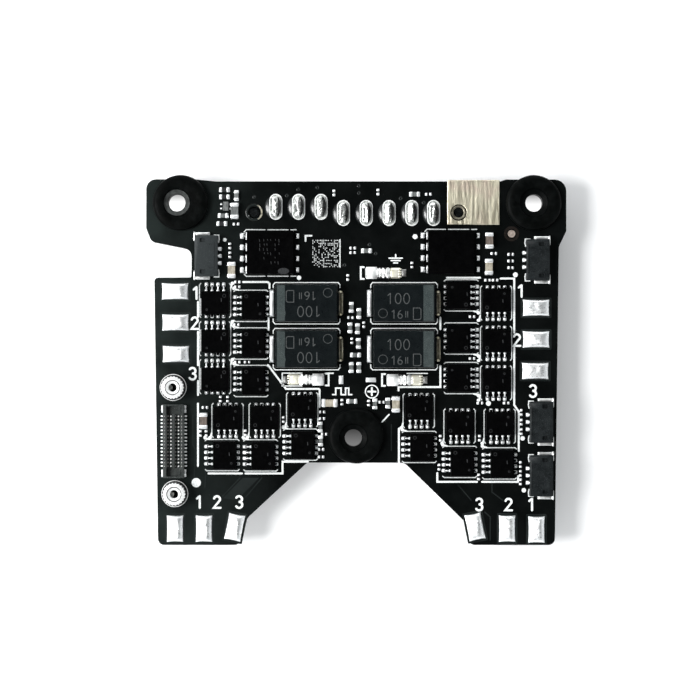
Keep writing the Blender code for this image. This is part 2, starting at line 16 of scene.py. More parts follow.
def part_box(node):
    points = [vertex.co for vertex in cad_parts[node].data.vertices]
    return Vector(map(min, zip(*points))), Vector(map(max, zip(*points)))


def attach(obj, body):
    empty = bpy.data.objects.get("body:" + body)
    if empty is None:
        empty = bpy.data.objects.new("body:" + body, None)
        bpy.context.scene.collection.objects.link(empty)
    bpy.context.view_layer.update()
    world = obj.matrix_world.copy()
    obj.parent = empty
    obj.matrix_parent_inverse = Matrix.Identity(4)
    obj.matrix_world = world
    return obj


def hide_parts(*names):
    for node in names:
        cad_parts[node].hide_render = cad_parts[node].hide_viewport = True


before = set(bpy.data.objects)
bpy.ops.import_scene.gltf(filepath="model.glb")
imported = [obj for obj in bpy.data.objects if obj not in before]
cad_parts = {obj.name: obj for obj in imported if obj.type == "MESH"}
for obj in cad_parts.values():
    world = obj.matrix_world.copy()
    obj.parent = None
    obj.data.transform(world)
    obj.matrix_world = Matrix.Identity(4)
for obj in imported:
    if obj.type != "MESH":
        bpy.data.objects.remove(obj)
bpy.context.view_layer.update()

MM = 0.001
BOARD_LOW, BOARD_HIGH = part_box("circuit_board")
ORIGIN = Vector((
    (BOARD_LOW.x + BOARD_HIGH.x) / 2, (BOARD_LOW.y + BOARD_HIGH.y) / 2, BOARD_HIGH.z
)) / MM
THICK = (BOARD_HIGH.z - BOARD_LOW.z) / MM
SIDES = (-1, 1)
# Printed lines: height of the ink, where it starts, the rise from one stroke to the next, usual width
INK = 0.03
LIFT = 0.004
LAYER_STEP = 0.0012
LINE = 0.11


def corners(node):
    """Lowest and highest corner of a CAD node in board coordinates."""
    return [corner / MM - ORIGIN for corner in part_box(node)]


def spot(node):
    """Centre and size of a CAD node in board coordinates."""
    low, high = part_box(node)
    return (low + high) / 2 / MM - ORIGIN, (high - low) / MM


def placed(start):
    """Name, centre and size of each CAD node that begins with the given words."""
    names = sorted(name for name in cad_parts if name.startswith(start))
    return [(name, *spot(name)) for name in names]


def centred(count, pitch):
    """Places of a row of things, centred on zero."""
    return [(index - (count - 1) / 2) * pitch for index in range(count)]


# ---- outlines and profiles


def circle(radius, height=0.0, centre=(0.0, 0.0), steps=32):
    """Points round a level circle."""
    turns = [math.tau * step / steps for step in range(steps)]
    return [(centre[0] + radius * math.cos(turn), centre[1] + radius * math.sin(turn), height)
            for turn in turns]


def ellipse(width, length, steps=24):
    """Points round an ellipse."""
    return [(width / 2 * x, length / 2 * y) for x, y, _ in circle(1.0, steps=steps)]


def rounded(width, length, radius, steps=3):
    """Points round a rectangle with rounded corners."""
    points = []
    for corner, (side_x, side_y) in enumerate(((1, 1), (-1, 1), (-1, -1), (1, -1))):
        for step in range(steps + 1):
            turn = math.pi / 2 * (corner + step / steps)
            points.append((
                side_x * (width / 2 - radius) + radius * math.cos(turn),
                side_y * (length / 2 - radius) + radius * math.sin(turn),
            ))
    return points


def arc(centre, radii, start, end, steps=8):
    """Points along part of an ellipse, from one angle to another in degrees."""
    turns = [math.radians(start + (end - start) * step / steps) for step in range(steps + 1)]
    return [(centre[0] + radii[0] * math.cos(turn), centre[1] + radii[1] * math.sin(turn))
            for turn in turns]


def loop(centre, radii, steps):
    """Points all the way round an ellipse, ending exactly where they start."""
    points = arc(centre, radii, 90, 450, steps)
    return points[:-1] + points[:1]


def dome(height, steps=6, fullness=2.4):
    """Profile of a mound: shares of its outline with their heights."""
    profile = [(1.0, 0.0)]
    for step in range(1, steps + 1):
        share = math.cos(math.pi / 2 * step / (steps + 0.35))
        profile.append((share, height * (1 - share ** fullness) ** (1 / fullness)))
    return profile


# ---- mesh building

CUSHION_WALL = 0.08
PAD_CREST = 0.72


class Shape:
    """One piece under construction, in board millimetres."""

    layers = itertools.cycle(range(9))

    def __init__(self):
        self.build = bmesh.new()
        self.local = Matrix.Identity(4)

    def at(self, x, y, z=0.0, turn=0.0, flip=False):
        """Choose where the next shapes go; flip hangs them upside down."""
        self.local = Matrix.Translation((x, y, z)) @ Matrix.Rotation(math.radians(turn), 4, "Z")
        if flip:
            self.local = self.local @ Matrix.Diagonal((1, 1, -1, 1))
        return self

    def loft(self, rings, closed=False):
        """Skin a stack of rings with equal counts, capped unless the last joins the first."""
        rows = [[self.build.verts.new(self.local @ Vector(point)) for point in ring] for ring in rings]
        pairs = list(zip(rows, rows[1:]))
        if closed:
            pairs.append((rows[-1], rows[0]))
        for lower, upper in pairs:
            for index, vert in enumerate(lower):
                after = (index + 1) % len(lower)
                self.build.faces.new((vert, lower[after], upper[after], upper[index]))
        if not closed:
            self.build.faces.new(rows[0][::-1])
            self.build.faces.new(rows[-1])
        return rows

    def stack(self, outline, heights):
        """The same outline at several heights."""
        self.loft([[(x, y, height) for x, y in outline] for height in heights])

    def mound(self, outline, profile, base=0.0, centre=(0.0, 0.0), lumps=0.0, grain=2.0):
        """A solid over an outline; lumps is how far noise may move its surface."""
        x0, y0 = centre
        rows = self.loft([
            [(x0 + x * share, y0 + y * share, base + height) for x, y in outline]
            for share, height in profile
        ])
        if lumps:
            for vert in itertools.chain(*rows[1:]):
                vert.co.z += noise.noise(vert.co * grain) * lumps

    def cushion(self, size, rise, centre=(0.0, 0.0), waist=0.0, lumps=0.0, steps=(12, 16), crest=None):
        """A swollen pad rising from all four sides; waist draws the sides in, crest tilts the top."""
        across, along = [
            [math.sin(math.pi * (step / count - 0.5)) for step in range(count + 1)] for count in steps
        ]
        grid = []
        for v in along:
            line = []
            for u in across:
                swell = math.sqrt((1 - u ** 6) * (1 - v ** 6))
                x = centre[0] + size[0] / 2 * u * (1 - waist * (1 - v * v))
                y = centre[1] + size[1] / 2 * v * (1 - waist * (1 - u * u))
                tilt = self.tilt((u * crest[0] + v * crest[1] + 1) / 2) if crest else 1.0
                place = self.local @ Vector((x, y, CUSHION_WALL + rise * swell * tilt))
                place.z += noise.noise(place * 1.4) * lumps * swell
                line.append(self.build.verts.new(place))
            grid.append(line)
        for lower, upper in zip(grid, grid[1:]):
            for a, b, c, d in zip(lower, lower[1:], upper[1:], upper):
                self.build.faces.new((a, b, c, d))
        rim = (grid[0] + [line[-1] for line in grid[1:-1]] + grid[-1][::-1]
               + [line[0] for line in grid[-2:0:-1]])
        down = self.local.to_3x3() @ Vector((0, 0, -CUSHION_WALL))
        foot = [self.build.verts.new(vert.co + down) for vert in rim]
        for index, vert in enumerate(rim):
            after = (index + 1) % len(rim)
            self.build.faces.new((foot[index], foot[after], rim[after], vert))
        self.build.faces.new(foot[::-1])

    @staticmethod
    def tilt(along):
        """Share of a pad's rise at a share of the way to its higher side."""
        climb = min(along / PAD_CREST, (1.12 - along) / (1.12 - PAD_CREST))
        return 0.4 + 0.6 * (1 - (1 - climb) ** 1.4)

    def block(self, size, centre=(0.0, 0.0, 0.0), edge=0.0, corner=0.001):
        """A box standing on its centre's height, with softened upper edges and corners."""
        width, length, height = size
        x, y, base = centre
        shrink = 1 - 2 * edge / min(width, length)
        self.mound(rounded(width, length, corner), [(1, 0), (1, height - edge), (shrink, height)],
                   base, (x, y))

    def slab(self, outline, bottom, top, centre=(0.0, 0.0)):
        """A flat plate over an outline."""
        self.mound(outline, [(1, bottom), (1, top)], 0.0, centre)

    def lathe(self, profile, centre=(0.0, 0.0), steps=32):
        """Turn a closed profile of (radius, height) about a vertical axis."""
        self.loft([circle(radius, height, centre, steps) for radius, height in profile], closed=True)

    def ring(self, radius, width, height, centre=(0.0, 0.0), base=LIFT, steps=32):
        """A flat band round a circle."""
        inner, outer, top = radius - width / 2, radius + width / 2, base + height
        self.lathe([(outer, base), (outer, top), (inner, top), (inner, base)], centre, steps)

    def stroke(self, points, width, height=INK, base=LIFT):
        """A drawn line of even width with rounded ends, a hair higher than the one before it."""
        height += LAYER_STEP * next(Shape.layers)
        if points[0] == points[-1]:
            self.hoop(points[:-1], width, height, base)
            return
        places = [Vector(point) for point in points]
        ways = [(b - a).normalized() for a, b in zip(places, places[1:])]
        left, right = [], []
        for place, before, after in zip(places, ways[:1] + ways, ways + ways[-1:]):
            mean = (before + after).normalized()
            normal = Vector((-mean.y, mean.x))
            reach = width / 2 / max(normal.dot(Vector((-after.y, after.x))), 0.5)
            left.append(place + normal * reach)
            right.append(place - normal * reach)
        start_cap = self.cap(places[0], -ways[0], width)
        end_cap = self.cap(places[-1], ways[-1], width)
        self.stack(left + end_cap + right[::-1] + start_cap, (base, base + height))

    def hoop(self, points, width, height, base):
        """A drawn line that closes on itself."""
        places = [Vector(point) for point in points]
        inner, outer = [], []
        for before, place, after in zip(places[-1:] + places, places, places[1:] + places[:1]):
            way = (after - before).normalized()
            side = Vector((way.y, -way.x)) * width / 2
            outer.append(place + side)
            inner.append(place - side)
        top = base + height
        self.loft([[(x, y, z) for x, y in edge] for edge, z in (
            (outer, base), (outer, top), (inner, top), (inner, base)
        )], closed=True)

    @staticmethod
    def cap(place, way, width):
        """The few points that round off the end of a line."""
        side = Vector((-way.y, way.x))
        turns = [math.radians(turn) for turn in (50, 90, 130)]
        return [place + (way * math.sin(turn) + side * math.cos(turn)) * width / 2 for turn in turns]

    def digits(self, text, height, width, base=LIFT, ink=INK):
        """Numbers drawn with strokes, centred on the origin."""
        for shift, digit in zip(centred(len(text), height * 0.82), text):
            for points in DIGITS[digit]:
                self.stroke([(shift + x * height, y * height) for x, y in points], width, ink, base)

    def carrier(self):
        """Hand the mesh over to an object, so that a modifier can use it."""
        bmesh.ops.recalc_face_normals(self.build, faces=self.build.faces)
        mesh = bpy.data.meshes.new("carving")
        self.build.to_mesh(mesh)
        self.build.clear()
        carrier = bpy.data.objects.new("carving", mesh)
        bpy.context.scene.collection.objects.link(carrier)
        return carrier

    def carve(self, tool):
        """Cut another shape out of this one."""
        body, cutter = self.carrier(), tool.carrier()
        cut = body.modifiers.new("cut", "BOOLEAN")
        cut.operation = "DIFFERENCE"
        cut.solver = "EXACT"
        cut.use_self = True
        cut.object = cutter
        bpy.context.view_layer.update()
        evaluated = body.evaluated_get(bpy.context.evaluated_depsgraph_get())
        self.build.from_mesh(bpy.data.meshes.new_from_object(evaluated))
        for carrier in (body, cutter):
            bpy.data.objects.remove(carrier, do_unlink=True)

    def finish(self, name, material, slot, smooth=None, stands_for=()):
        """Turn the shape into a piece on the board; smooth is the steepest fold that isn't an edge."""
        bmesh.ops.recalc_face_normals(self.build, faces=self.build.faces)
        bmesh.ops.translate(self.build, vec=ORIGIN, verts=self.build.verts)
        bmesh.ops.scale(self.build, vec=(MM, MM, MM), verts=self.build.verts)
        mesh = bpy.data.meshes.new(name)
        self.build.to_mesh(mesh)
        self.build.free()
        mesh.materials.append(material)
        if smooth is not None:
            mesh.shade_smooth()
            mesh.set_sharp_from_angle(angle=math.radians(smooth))
        piece = bpy.data.objects.new(name, mesh)
        bpy.context.scene.collection.objects.link(piece)
        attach(piece, "root")
        if stands_for:
            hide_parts(*stands_for)
        return piece


def new_shapes(count):
    """Several empty shapes."""
    return [Shape() for _ in range(count)]


def aim(shapes, x, y, z=0.0, turn=0.0, flip=False):
    """Choose one place for several shapes."""
    for shape in shapes:
        shape.at(x, y, z, turn, flip)


def under(x, y, turn, *shapes):
    """Hang shapes from the board's lower face."""
    aim(shapes, x, y, -THICK, turn, True)


ROUND = (0.26, 0.26)
DIGITS = {
    "0": (loop((0, 0), (0.28, 0.5), 20),),
    "1": (((-0.18, 0.3), (0.02, 0.48)), ((0.06, 0.5), (0.06, -0.5))),
    "2": (arc((0, 0.24), ROUND, 165, -20, 8) + [(-0.28, -0.5), (0.3, -0.5)],),
    "3": (arc((0, 0.25), ROUND, 150, -80, 8), arc((0, -0.24), (0.28, 0.27), 82, -150, 9)),
    "6": (loop((0, -0.23), (0.27, 0.27), 16), arc((0.27, -0.2), (0.54, 0.7), 110, 180, 6)),
}


# ---- materials

WHITE = (1.0, 1.0, 1.0)
MIX_FIRST, MIX_SECOND, MIX_RESULT = 6, 7, 2
# Where across the board the mask's painted glare is full, and where it has stopped: painted light that lifts
# the mask's colour towards the left
MASK_PAINTED_GLARE = (-24.0, -8.0)
MASK_PAINTED_GLARE_TONE = (0.0138, 0.0182, 0.0171)
# Lighter tone for faces that look down: painted light on the underside
MASK_UNDERSIDE_PAINTED_LIGHT = (0.014, 0.0165, 0.016)
MASK_DUST_TONE = (0.07, 0.075, 0.075)
LAMINATE_TONES = ((0.018, 0.016, 0.013), (0.05, 0.043, 0.032))
PLY_WAVE = 21.0


class Nodes:
    """A tree of shader nodes whose textures are laid out in millimetres."""

    def __init__(self, owner):
        owner.use_nodes = True
        self.tree = owner.node_tree

    def feed(self, node, inputs):
        """Set each input to a number or a colour, or link another node's output to it."""
        for name, value in inputs.items():
            target = node.inputs[name]
            if isinstance(value, bpy.types.NodeSocket):
                self.tree.links.new(value, target)
            else:
                target.default_value = (*value, 1.0) if target.type == "RGBA" else value

    def node(self, kind, output, inputs=None, **settings):
        """Add a node and return one of its outputs."""
        node = self.tree.nodes.new(f"ShaderNode{kind}")
        for key, value in settings.items():
            setattr(node, key, value)
        self.feed(node, inputs or {})
        return node.outputs[output]

    def split(self, vector, axis):
        """One part of a vector."""
        return self.node("SeparateXYZ", axis, {"Vector": vector})

    def level(self, source, low, high, first=0.0, last=1.0):
        """Map the range low to high of a value onto first to last."""
        return self.node("MapRange", "Result", {
            "Value": source, "From Min": low, "From Max": high, "To Min": first, "To Max": last,
        })

    def sums(self, kind, first, second=0.0):
        """One arithmetic step on a value and a number or another value."""
        return self.node("Math", "Value", {0: first, 1: second}, operation=kind)


class Surface(Nodes):
    """A procedural material."""

    def __init__(self, name, metallic=0.0, specular=0.5):
        self.material = bpy.data.materials.new(name)
        super().__init__(self.material)
        self.shader = self.tree.nodes["Principled BSDF"]
        self.feed(self.shader, {"Metallic": metallic, "Specular IOR Level": specular})
        self.place = self.node("TexCoord", "Object")

    def spread(self, stretch=(1, 1, 1)):
        """Object coordinates in millimetres, stretched per axis."""
        return self.node("Mapping", "Vector", {
            "Vector": self.place, "Scale": [share / MM for share in stretch],
        })

    def noise(self, scale, detail=3.0, stretch=(1, 1, 1)):
        """Cloudy noise; scale is its features per millimetre."""
        return self.node("TexNoise", "Fac", {
            "Scale": scale, "Detail": detail, "Vector": self.spread(stretch),
        })

    def clouds(self, scale, detail, low, high, stretch=(1, 1, 1)):
        """Noise with the range low to high drawn out from 0 to 1."""
        return self.level(self.noise(scale, detail, stretch), low, high)

    def specks(self, scale, core, edge):
        """Scattered specks: 1 within core of their centres and 0 beyond edge."""
        cells = self.node("TexVoronoi", "Distance", {"Scale": scale, "Vector": self.spread()})
        return self.level(cells, core, edge, 1.0, 0.0)

    def blend(self, factor, first, second):
        """Mix two colours, each a triple or another node's output."""
        return self.node("Mix", MIX_RESULT, {0: factor, MIX_FIRST: first, MIX_SECOND: second},
                         data_type="RGBA")

    def facing(self, axis):
        """How far the surface faces along an axis, from -1 to 1."""
        return self.split(self.node("NewGeometry", "Normal"), axis)

    def along(self, axis):
        """Place along a frame axis in millimetres."""
        return self.split(self.spread(), axis)

    def coat(self, colour, gloss, low, high, *bumps):
        """Set the colour, a roughness between two ends, and bumps, each a value and its depth."""
        self.feed(self.shader, {"Base Color": colour, "Roughness": self.level(gloss, 0.3, 0.7, low, high)})
        chain = {}
        for source, depth in bumps:
            inputs = {"Height": source, "Distance": depth * MM, **chain}
            chain = {"Normal": self.node("Bump", "Normal", inputs)}
        self.feed(self.shader, chain)
        return self.material


def mask_material(name, dark, light, glaze):
    """Black solder mask: soft clouding, orange peel and dust, with bare laminate on the cut edges, a painted
    glare that lightens it towards the left, and painted light that lifts faces looking down.
    """
    skin = Surface(name, specular=glaze)
    patches = skin.level(skin.noise(0.22, 3), 0.35, 0.65, 0.45, 1.15)
    # Painted glare: the colour is lifted towards the left, where the light falls
    glare = skin.sums("MULTIPLY", skin.level(skin.along("X"), *MASK_PAINTED_GLARE, 1.0, 0.0), patches)
    tone = skin.blend(glare, skin.blend(skin.clouds(0.35, 4, 0.35, 0.65), dark, light), MASK_PAINTED_GLARE_TONE)
    # Painted light: faces looking down take the lighter underside tone
    tone = skin.blend(skin.level(skin.facing("Z"), -0.9, -0.6), MASK_UNDERSIDE_PAINTED_LIGHT, tone)
    dust = skin.sums("MULTIPLY", skin.specks(1.6, 0.0, 0.04), skin.clouds(0.9, 1, 0.6, 0.66))
    plies = skin.sums("SINE", skin.sums("MULTIPLY", skin.along("Z"), PLY_WAVE))
    laminate = skin.blend(skin.level(plies, -0.6, 0.6), *LAMINATE_TONES)
    upright = skin.level(skin.sums("ABSOLUTE", skin.facing("Z")), 0.35, 0.5)
    colour = skin.blend(upright, laminate, skin.blend(dust, tone, MASK_DUST_TONE))
    return skin.coat(colour, skin.noise(1.2), 0.17, 0.25, (skin.noise(5.0, 2), 0.002),
                     (skin.noise(0.5, 2), 0.006))


def moulded_material(name, dark, light, grain, shine=0.06, specks=2.6, painted_shading=None):
    """Moulded epoxy or plastic; fade paints light or shade along an axis and holds the axis, where on it the
    change starts and ends, and a colour.
    """
    skin = Surface(name, specular=shine)
    tone = skin.blend(skin.clouds(1.1, 4, 0.3, 0.7), dark, light)
    # Painted light or shade: the tone blends into the given colour along the axis
    if painted_shading:
        axis, start, end, colour = painted_shading
        tone = skin.blend(skin.level(skin.along(axis), start, end), tone, colour)
    pale = tuple(min(1.0, specks * value) for value in light)
    return skin.coat(skin.blend(skin.clouds(15.0, 2, 0.6, 0.72), tone, pale), skin.noise(3.0, 2), 0.26, 0.38,
                     (skin.noise(14.0), grain), (skin.noise(2.0, 2), grain))


def metal_material(name, dark, light, low, high, dent, scale=2.0, metallic=1.0):
    """Plated or soldered metal: stained colour, uneven gloss and shallow dents."""
    skin = Surface(name, metallic=metallic)
    return skin.coat(skin.blend(skin.clouds(scale, 4, 0.32, 0.68), dark, light), skin.noise(scale * 2.5),
                     low, high, (skin.noise(scale, 2), dent), (skin.noise(scale * 6, 2), dent * 0.25))


def rubber_material(name, dark, light):
    """Soft black rubber, matte, with bloom and lint."""
    skin = Surface(name, specular=0.03)
    bloom = skin.clouds(1.3, 5, 0.4, 0.72)
    lint = skin.sums("MULTIPLY", skin.specks(1.9, 0.0, 0.05), bloom)
    colour = skin.blend(lint, skin.blend(bloom, dark, light), (0.06, 0.06, 0.06))
    return skin.coat(colour, skin.noise(2.5), 0.35, 0.5, (skin.noise(9.0), 0.01),
                     (skin.noise(1.6, 2), 0.02))


def foil_material():
    """Nickel foil: drawn grain along Y, warm stains, rubbed streaks and splashes."""
    skin = Surface("nickel_drawn", metallic=1.0)
    grain = skin.noise(1.0, 4, (4.5, 0.28, 1))
    tone = skin.blend(skin.level(grain, 0.3, 0.7), (0.45, 0.41, 0.3), (0.77, 0.73, 0.58))
    stained = skin.blend(skin.clouds(0.5, 3, 0.5, 0.7), tone, (0.62, 0.53, 0.43))
    splash = skin.sums("MULTIPLY", skin.specks(2.6, 0.05, 0.11), skin.clouds(0.45, 2, 0.5, 0.6))
    return skin.coat(skin.blend(splash, stained, (0.2, 0.19, 0.14)), grain, 0.34, 0.5,
                     (grain, 0.012), (skin.noise(1.0, 3, (18, 1.6, 1)), 0.014))


def ink_material(name, dark, light):
    """Screen-printed ink with a slightly uneven coat."""
    skin = Surface(name, specular=0.2)
    return skin.coat(skin.blend(skin.clouds(7.0, 3, 0.3, 0.62), dark, light), skin.noise(4.0, 2), 0.5, 0.75,
                     (skin.noise(10.0, 2), 0.006))


def ceramic_material(name, dark, light):
    """Fired ceramic: fine grain and faint layers."""
    skin = Surface(name, specular=0.3)
    return skin.coat(skin.blend(skin.clouds(2.0, 4, 0.3, 0.7, (3, 1, 1)), dark, light),
                     skin.noise(5.0, 2), 0.35, 0.55, (skin.noise(12.0, 2), 0.008))


# Masks: dark and light tone, share of mirrored light
mask = mask_material("mask_black", (0.0012, 0.0016, 0.0016), (0.0028, 0.0035, 0.0034), 0.14)
pour_mask = mask_material("mask_over_copper", (0.006, 0.008, 0.0078), (0.013, 0.016, 0.0155), 0.3)
under_mask = mask_material("mask_under_copper", (0.03, 0.034, 0.033), (0.05, 0.056, 0.054), 0.3)
flux_film = mask_material("mask_under_flux", (0.01, 0.011, 0.011), (0.03, 0.033, 0.033), 0.5)
# Mouldings: dark and light tone, depth of the grain
epoxy = moulded_material("epoxy_black", (0.0005, 0.0005, 0.0006), (0.0012, 0.0012, 0.0013), 0.003, 0.025)
slate = moulded_material("epoxy_slate", (0.003, 0.0043, 0.0048), (0.0052, 0.007, 0.0076), 0.005)
band_paint = moulded_material("band_grey", (0.03, 0.038, 0.038), (0.045, 0.054, 0.053), 0.006)
# Socket shells: painted light, the tone lightens where X runs from -10 to -18 mm, towards the light on the
# left
plastic = moulded_material("socket_slate", (0.0058, 0.007, 0.0075), (0.0138, 0.016, 0.0168), 0.012,
                           specks=3.4, painted_shading=("X", -10.0, -18.0, (0.028, 0.032, 0.033)))
# Battery connector housing: painted shade, darker from 3.0 to 3.6 mm up, where it meets the board's underside
housing_plastic = moulded_material("housing_slate", (0.007, 0.0085, 0.009), (0.017, 0.0195, 0.0205), 0.012,
                                   specks=3.4, painted_shading=("Z", 3.0, 3.6, (0.002, 0.0025, 0.0026)))
frame_plastic = moulded_material("connector_grey", (0.022, 0.025, 0.024), (0.05, 0.055, 0.053), 0.012)
driver_epoxy = moulded_material("epoxy_driver", (0.012, 0.012, 0.0125), (0.02, 0.02, 0.021), 0.006)
ferrite = moulded_material("ferrite_grey", (0.03, 0.031, 0.033), (0.055, 0.056, 0.058), 0.02)
laminate = moulded_material("laminate_bare", (0.005, 0.0042, 0.0036), (0.013, 0.0105, 0.009), 0.005)
# Metals: dark and light tone, lowest and highest roughness, depth of the dents
solder = metal_material("solder_bright", (0.76, 0.78, 0.78), (0.97, 0.98, 0.98), 0.3, 0.48, 0.03,
                        metallic=0.8)
# Near-black solder for the fold on the right of each tab joint: painted shade
fold_shade_solder = metal_material("solder_fold_painted_shade", (0.002, 0.002, 0.002), (0.035, 0.036, 0.036), 0.4, 0.6, 0.03, 4)
# Near-white, barely metallic solder: a painted highlight, so the tab joints' rims read bright all round
rim_solder_painted_highlight = metal_material("solder_rim_painted_highlight", (0.9, 0.91, 0.9), (0.99, 0.99, 0.98), 0.3, 0.45, 0.01,
                            metallic=0.1)
crumpled = metal_material("solder_crumpled", (0.28, 0.3, 0.28), (0.97, 0.98, 0.96), 0.2, 0.4, 0.05, 3)
pad_solder = metal_material("solder_pads", (0.78, 0.8, 0.8), (0.98, 0.99, 0.99), 0.24, 0.4, 0.03,
                            metallic=0.85)
# Near-black metal: painted shade under the spring leaves, in the spacers' head grooves and on their flanges
painted_shade_metal = metal_material("metal_painted_shade", (0.006, 0.006, 0.007), (0.1, 0.1, 0.1), 0.35, 0.5, 0.03, 5)
tin = metal_material("tin_plate", (0.72, 0.73, 0.72), (0.94, 0.95, 0.94), 0.3, 0.46, 0.012, metallic=0.9)
satin = metal_material("tin_satin", (0.84, 0.85, 0.84), (0.98, 0.98, 0.97), 0.3, 0.45, 0.02, metallic=0.55)
dull_tin = metal_material("tin_dull", (0.2, 0.2, 0.2), (0.42, 0.42, 0.4), 0.35, 0.5, 0.01, 4)
dull_brass = metal_material("brass_dull", (0.1, 0.092, 0.07), (0.3, 0.28, 0.22), 0.35, 0.55, 0.01, 3)
brassy = metal_material("lead_brassy", (0.5, 0.46, 0.32), (0.86, 0.82, 0.68), 0.25, 0.42, 0.012)
gold = metal_material("contact_gold", (0.62, 0.47, 0.3), (0.85, 0.7, 0.5), 0.22, 0.4, 0.008)
gilt = metal_material("contact_gilt", (0.82, 0.79, 0.62), (0.97, 0.95, 0.84), 0.28, 0.44, 0.01, metallic=0.6)
dull_copper = metal_material("copper_dull", (0.36, 0.29, 0.25), (0.66, 0.57, 0.5), 0.4, 0.55, 0.01, 4)
alloy = metal_material("shunt_alloy", (0.09, 0.09, 0.095), (0.2, 0.19, 0.18), 0.4, 0.6, 0.01)
foil_metal = foil_material()
# The rest: dark and light tone
rubber = rubber_material("rubber_black", (0.0008, 0.0011, 0.001), (0.0026, 0.0032, 0.0031))
# Lighter grey rubber: painted light round the left grommet's bore
painted_light_rubber = rubber_material("rubber_painted_light", (0.03, 0.032, 0.031), (0.07, 0.075, 0.073))
ink = ink_material("ink_white", (0.52, 0.55, 0.54), (0.86, 0.88, 0.87))
thin_ink = ink_material("ink_thin", (0.3, 0.32, 0.32), (0.66, 0.68, 0.67))
laser_mark = ink_material("laser_mark", (0.03, 0.034, 0.034), (0.066, 0.07, 0.07))
faint_mark = ink_material("laser_mark_faint", (0.01, 0.011, 0.012), (0.024, 0.025, 0.026))
CERAMICS = {
    "grey": ceramic_material("ceramic_grey", (0.05, 0.053, 0.053), (0.16, 0.17, 0.165)),
    "tan": ceramic_material("ceramic_tan", (0.18, 0.16, 0.125), (0.42, 0.385, 0.31)),
    "brown": ceramic_material("ceramic_brown", (0.065, 0.05, 0.042), (0.155, 0.128, 0.108)),
    "black": ceramic_material("ceramic_black", (0.006, 0.006, 0.0065), (0.014, 0.014, 0.015)),
}

CAD_FINISHES = (
    ("circuit_board", mask, "solder_mask"),
    ("mosfet_", epoxy, "mould_compound"),
    ("battery_mosfet_", epoxy, "mould_compound"),
    ("capacitor_", slate, "tantalum_case"),
    ("battery_connector_housing", housing_plastic, "socket_plastic"),
    ("battery_blade_", gold, "contact_copper"),
    ("motor_driver_", driver_epoxy, "mould_compound"),
    ("regulator_inductor", ferrite, "ferrite"),
    ("current_shunt", alloy, "shunt_metal"),
)
NODE_BEVEL = 0.04
BOARD_BEVEL = 0.09


def dress_cad_nodes():
    """Give each CAD node that stays its detailed material and softened edges."""
    for start, material, slot in CAD_FINISHES:
        for name, _, _ in placed(start):
            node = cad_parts[name]
            node.data.materials.clear()
            node.data.materials.append(material)
            bevel = node.modifiers.new("soft_edges", "BEVEL")
            bevel.width = (BOARD_BEVEL if name == "circuit_board" else NODE_BEVEL) * MM
            bevel.segments = 2
            bevel.limit_method = "ANGLE"
            bevel.angle_limit = math.radians(50)
            bevel.harden_normals = True


# ---- transistors

PIN_PITCH = 0.65
# Which way the long leads of each bank's high-side and low-side transistors point, and that way's turn
DRAIN_TURN = {"down": 0, "right": 90, "up": 180, "left": 270}
DRAINS = {
    "upper_left": {"high": "up", "low": "left"},
    "upper_right": {"high": "down", "low": "right"},
    "lower_left": {"high": "down", "low": "left"},
    "lower_right": {"high": "down", "low": "left"},
}
FET_HALF = 1.76
# Thin printed bars to the left of the upper left bank
SIDE_BARS = (
    ((-17.45, 7.1), (-17.45, 5.3)), ((-17.45, 3.6), (-17.45, 1.25)), ((-17.45, -0.7), (-17.45, -3.0)),
)


def phase_fets():
    """Place, turn and top of each phase transistor."""
    for bank, sides in DRAINS.items():
        for side, drain in sides.items():
            for name, centre, size in placed(f"mosfet_{bank}_"):
                if name.endswith(side):
                    yield centre.x, centre.y, DRAIN_TURN[drain], centre.z + size.z / 2


def make_fet_leads():
    """Leads and solder of the phase transistors."""
    shape = Shape()
    for x, y, turn, _ in phase_fets():
        shape.at(x, y, 0, turn)
        for across in centred(4, PIN_PITCH):
            shape.mound(rounded(0.4, 0.44, 0.12), dome(0.27, 4), 0, (across, 1.68), 0.07, 4)
            shape.mound(rounded(0.4, 0.58, 0.13), dome(0.24, 4), 0, (across, -1.84), 0.08, 4)
            shape.cushion((0.2, 0.46), 0.24, (across, -1.5), lumps=0.08, steps=(6, 8))
            shape.block((0.28, 0.22, 0.48), (across, -1.2, 0), 0.09, 0.07)
    shape.finish("phase_fet_leads", solder, "solder", smooth=50)


def make_fet_outlines():
    """Thin printed outline round each phase transistor, with its pin-one teardrop."""
    lines, drops = new_shapes(2)
    for x, y, turn, _ in phase_fets():
        aim((lines, drops), x, y, 0, turn)
        for side in SIDES:
            edge = side * FET_HALF
            bend = edge - side * 0.15
            lines.stroke([(bend, -2.0), (edge, -1.82), (edge, 1.66), (bend, 1.82)], LINE)
        drops.stroke([(-FET_HALF - 0.16, -1.95), (-FET_HALF - 0.02, -1.5)], 0.17)
        drops.mound(ellipse(0.42, 0.36, 14), [(1, 0), (1, INK + 0.012), (0.2, INK + 0.02)], LIFT,
                    (-FET_HALF - 0.2, -2.02))
    lines.at(0, 0)
    for points in SIDE_BARS:
        lines.stroke(points, 0.14)
    lines.finish("phase_fet_outlines", thin_ink, "silkscreen")
    drops.finish("phase_fet_pin_marks", ink, "silkscreen")


def make_fet_dimples():
    """Faint moulding dimples and a scuff on top of each transistor body."""
    shape = Shape()
    for x, y, turn, top in phase_fets():
        shape.at(x, y, top, turn)
        shape.ring(0.17, 0.05, 0.012, (-1.05, -0.6), 0.0, 16)
        shape.ring(0.1, 0.05, 0.012, (0.9, 0.95), 0.0, 12)
        shape.at(x, y, top)
        shape.stroke([(0.72, 0.28), (0.74, -0.02)], 0.1, 0.01, 0.0)
    shape.finish("phase_fet_dimples", faint_mark, "mould_compound", smooth=40)


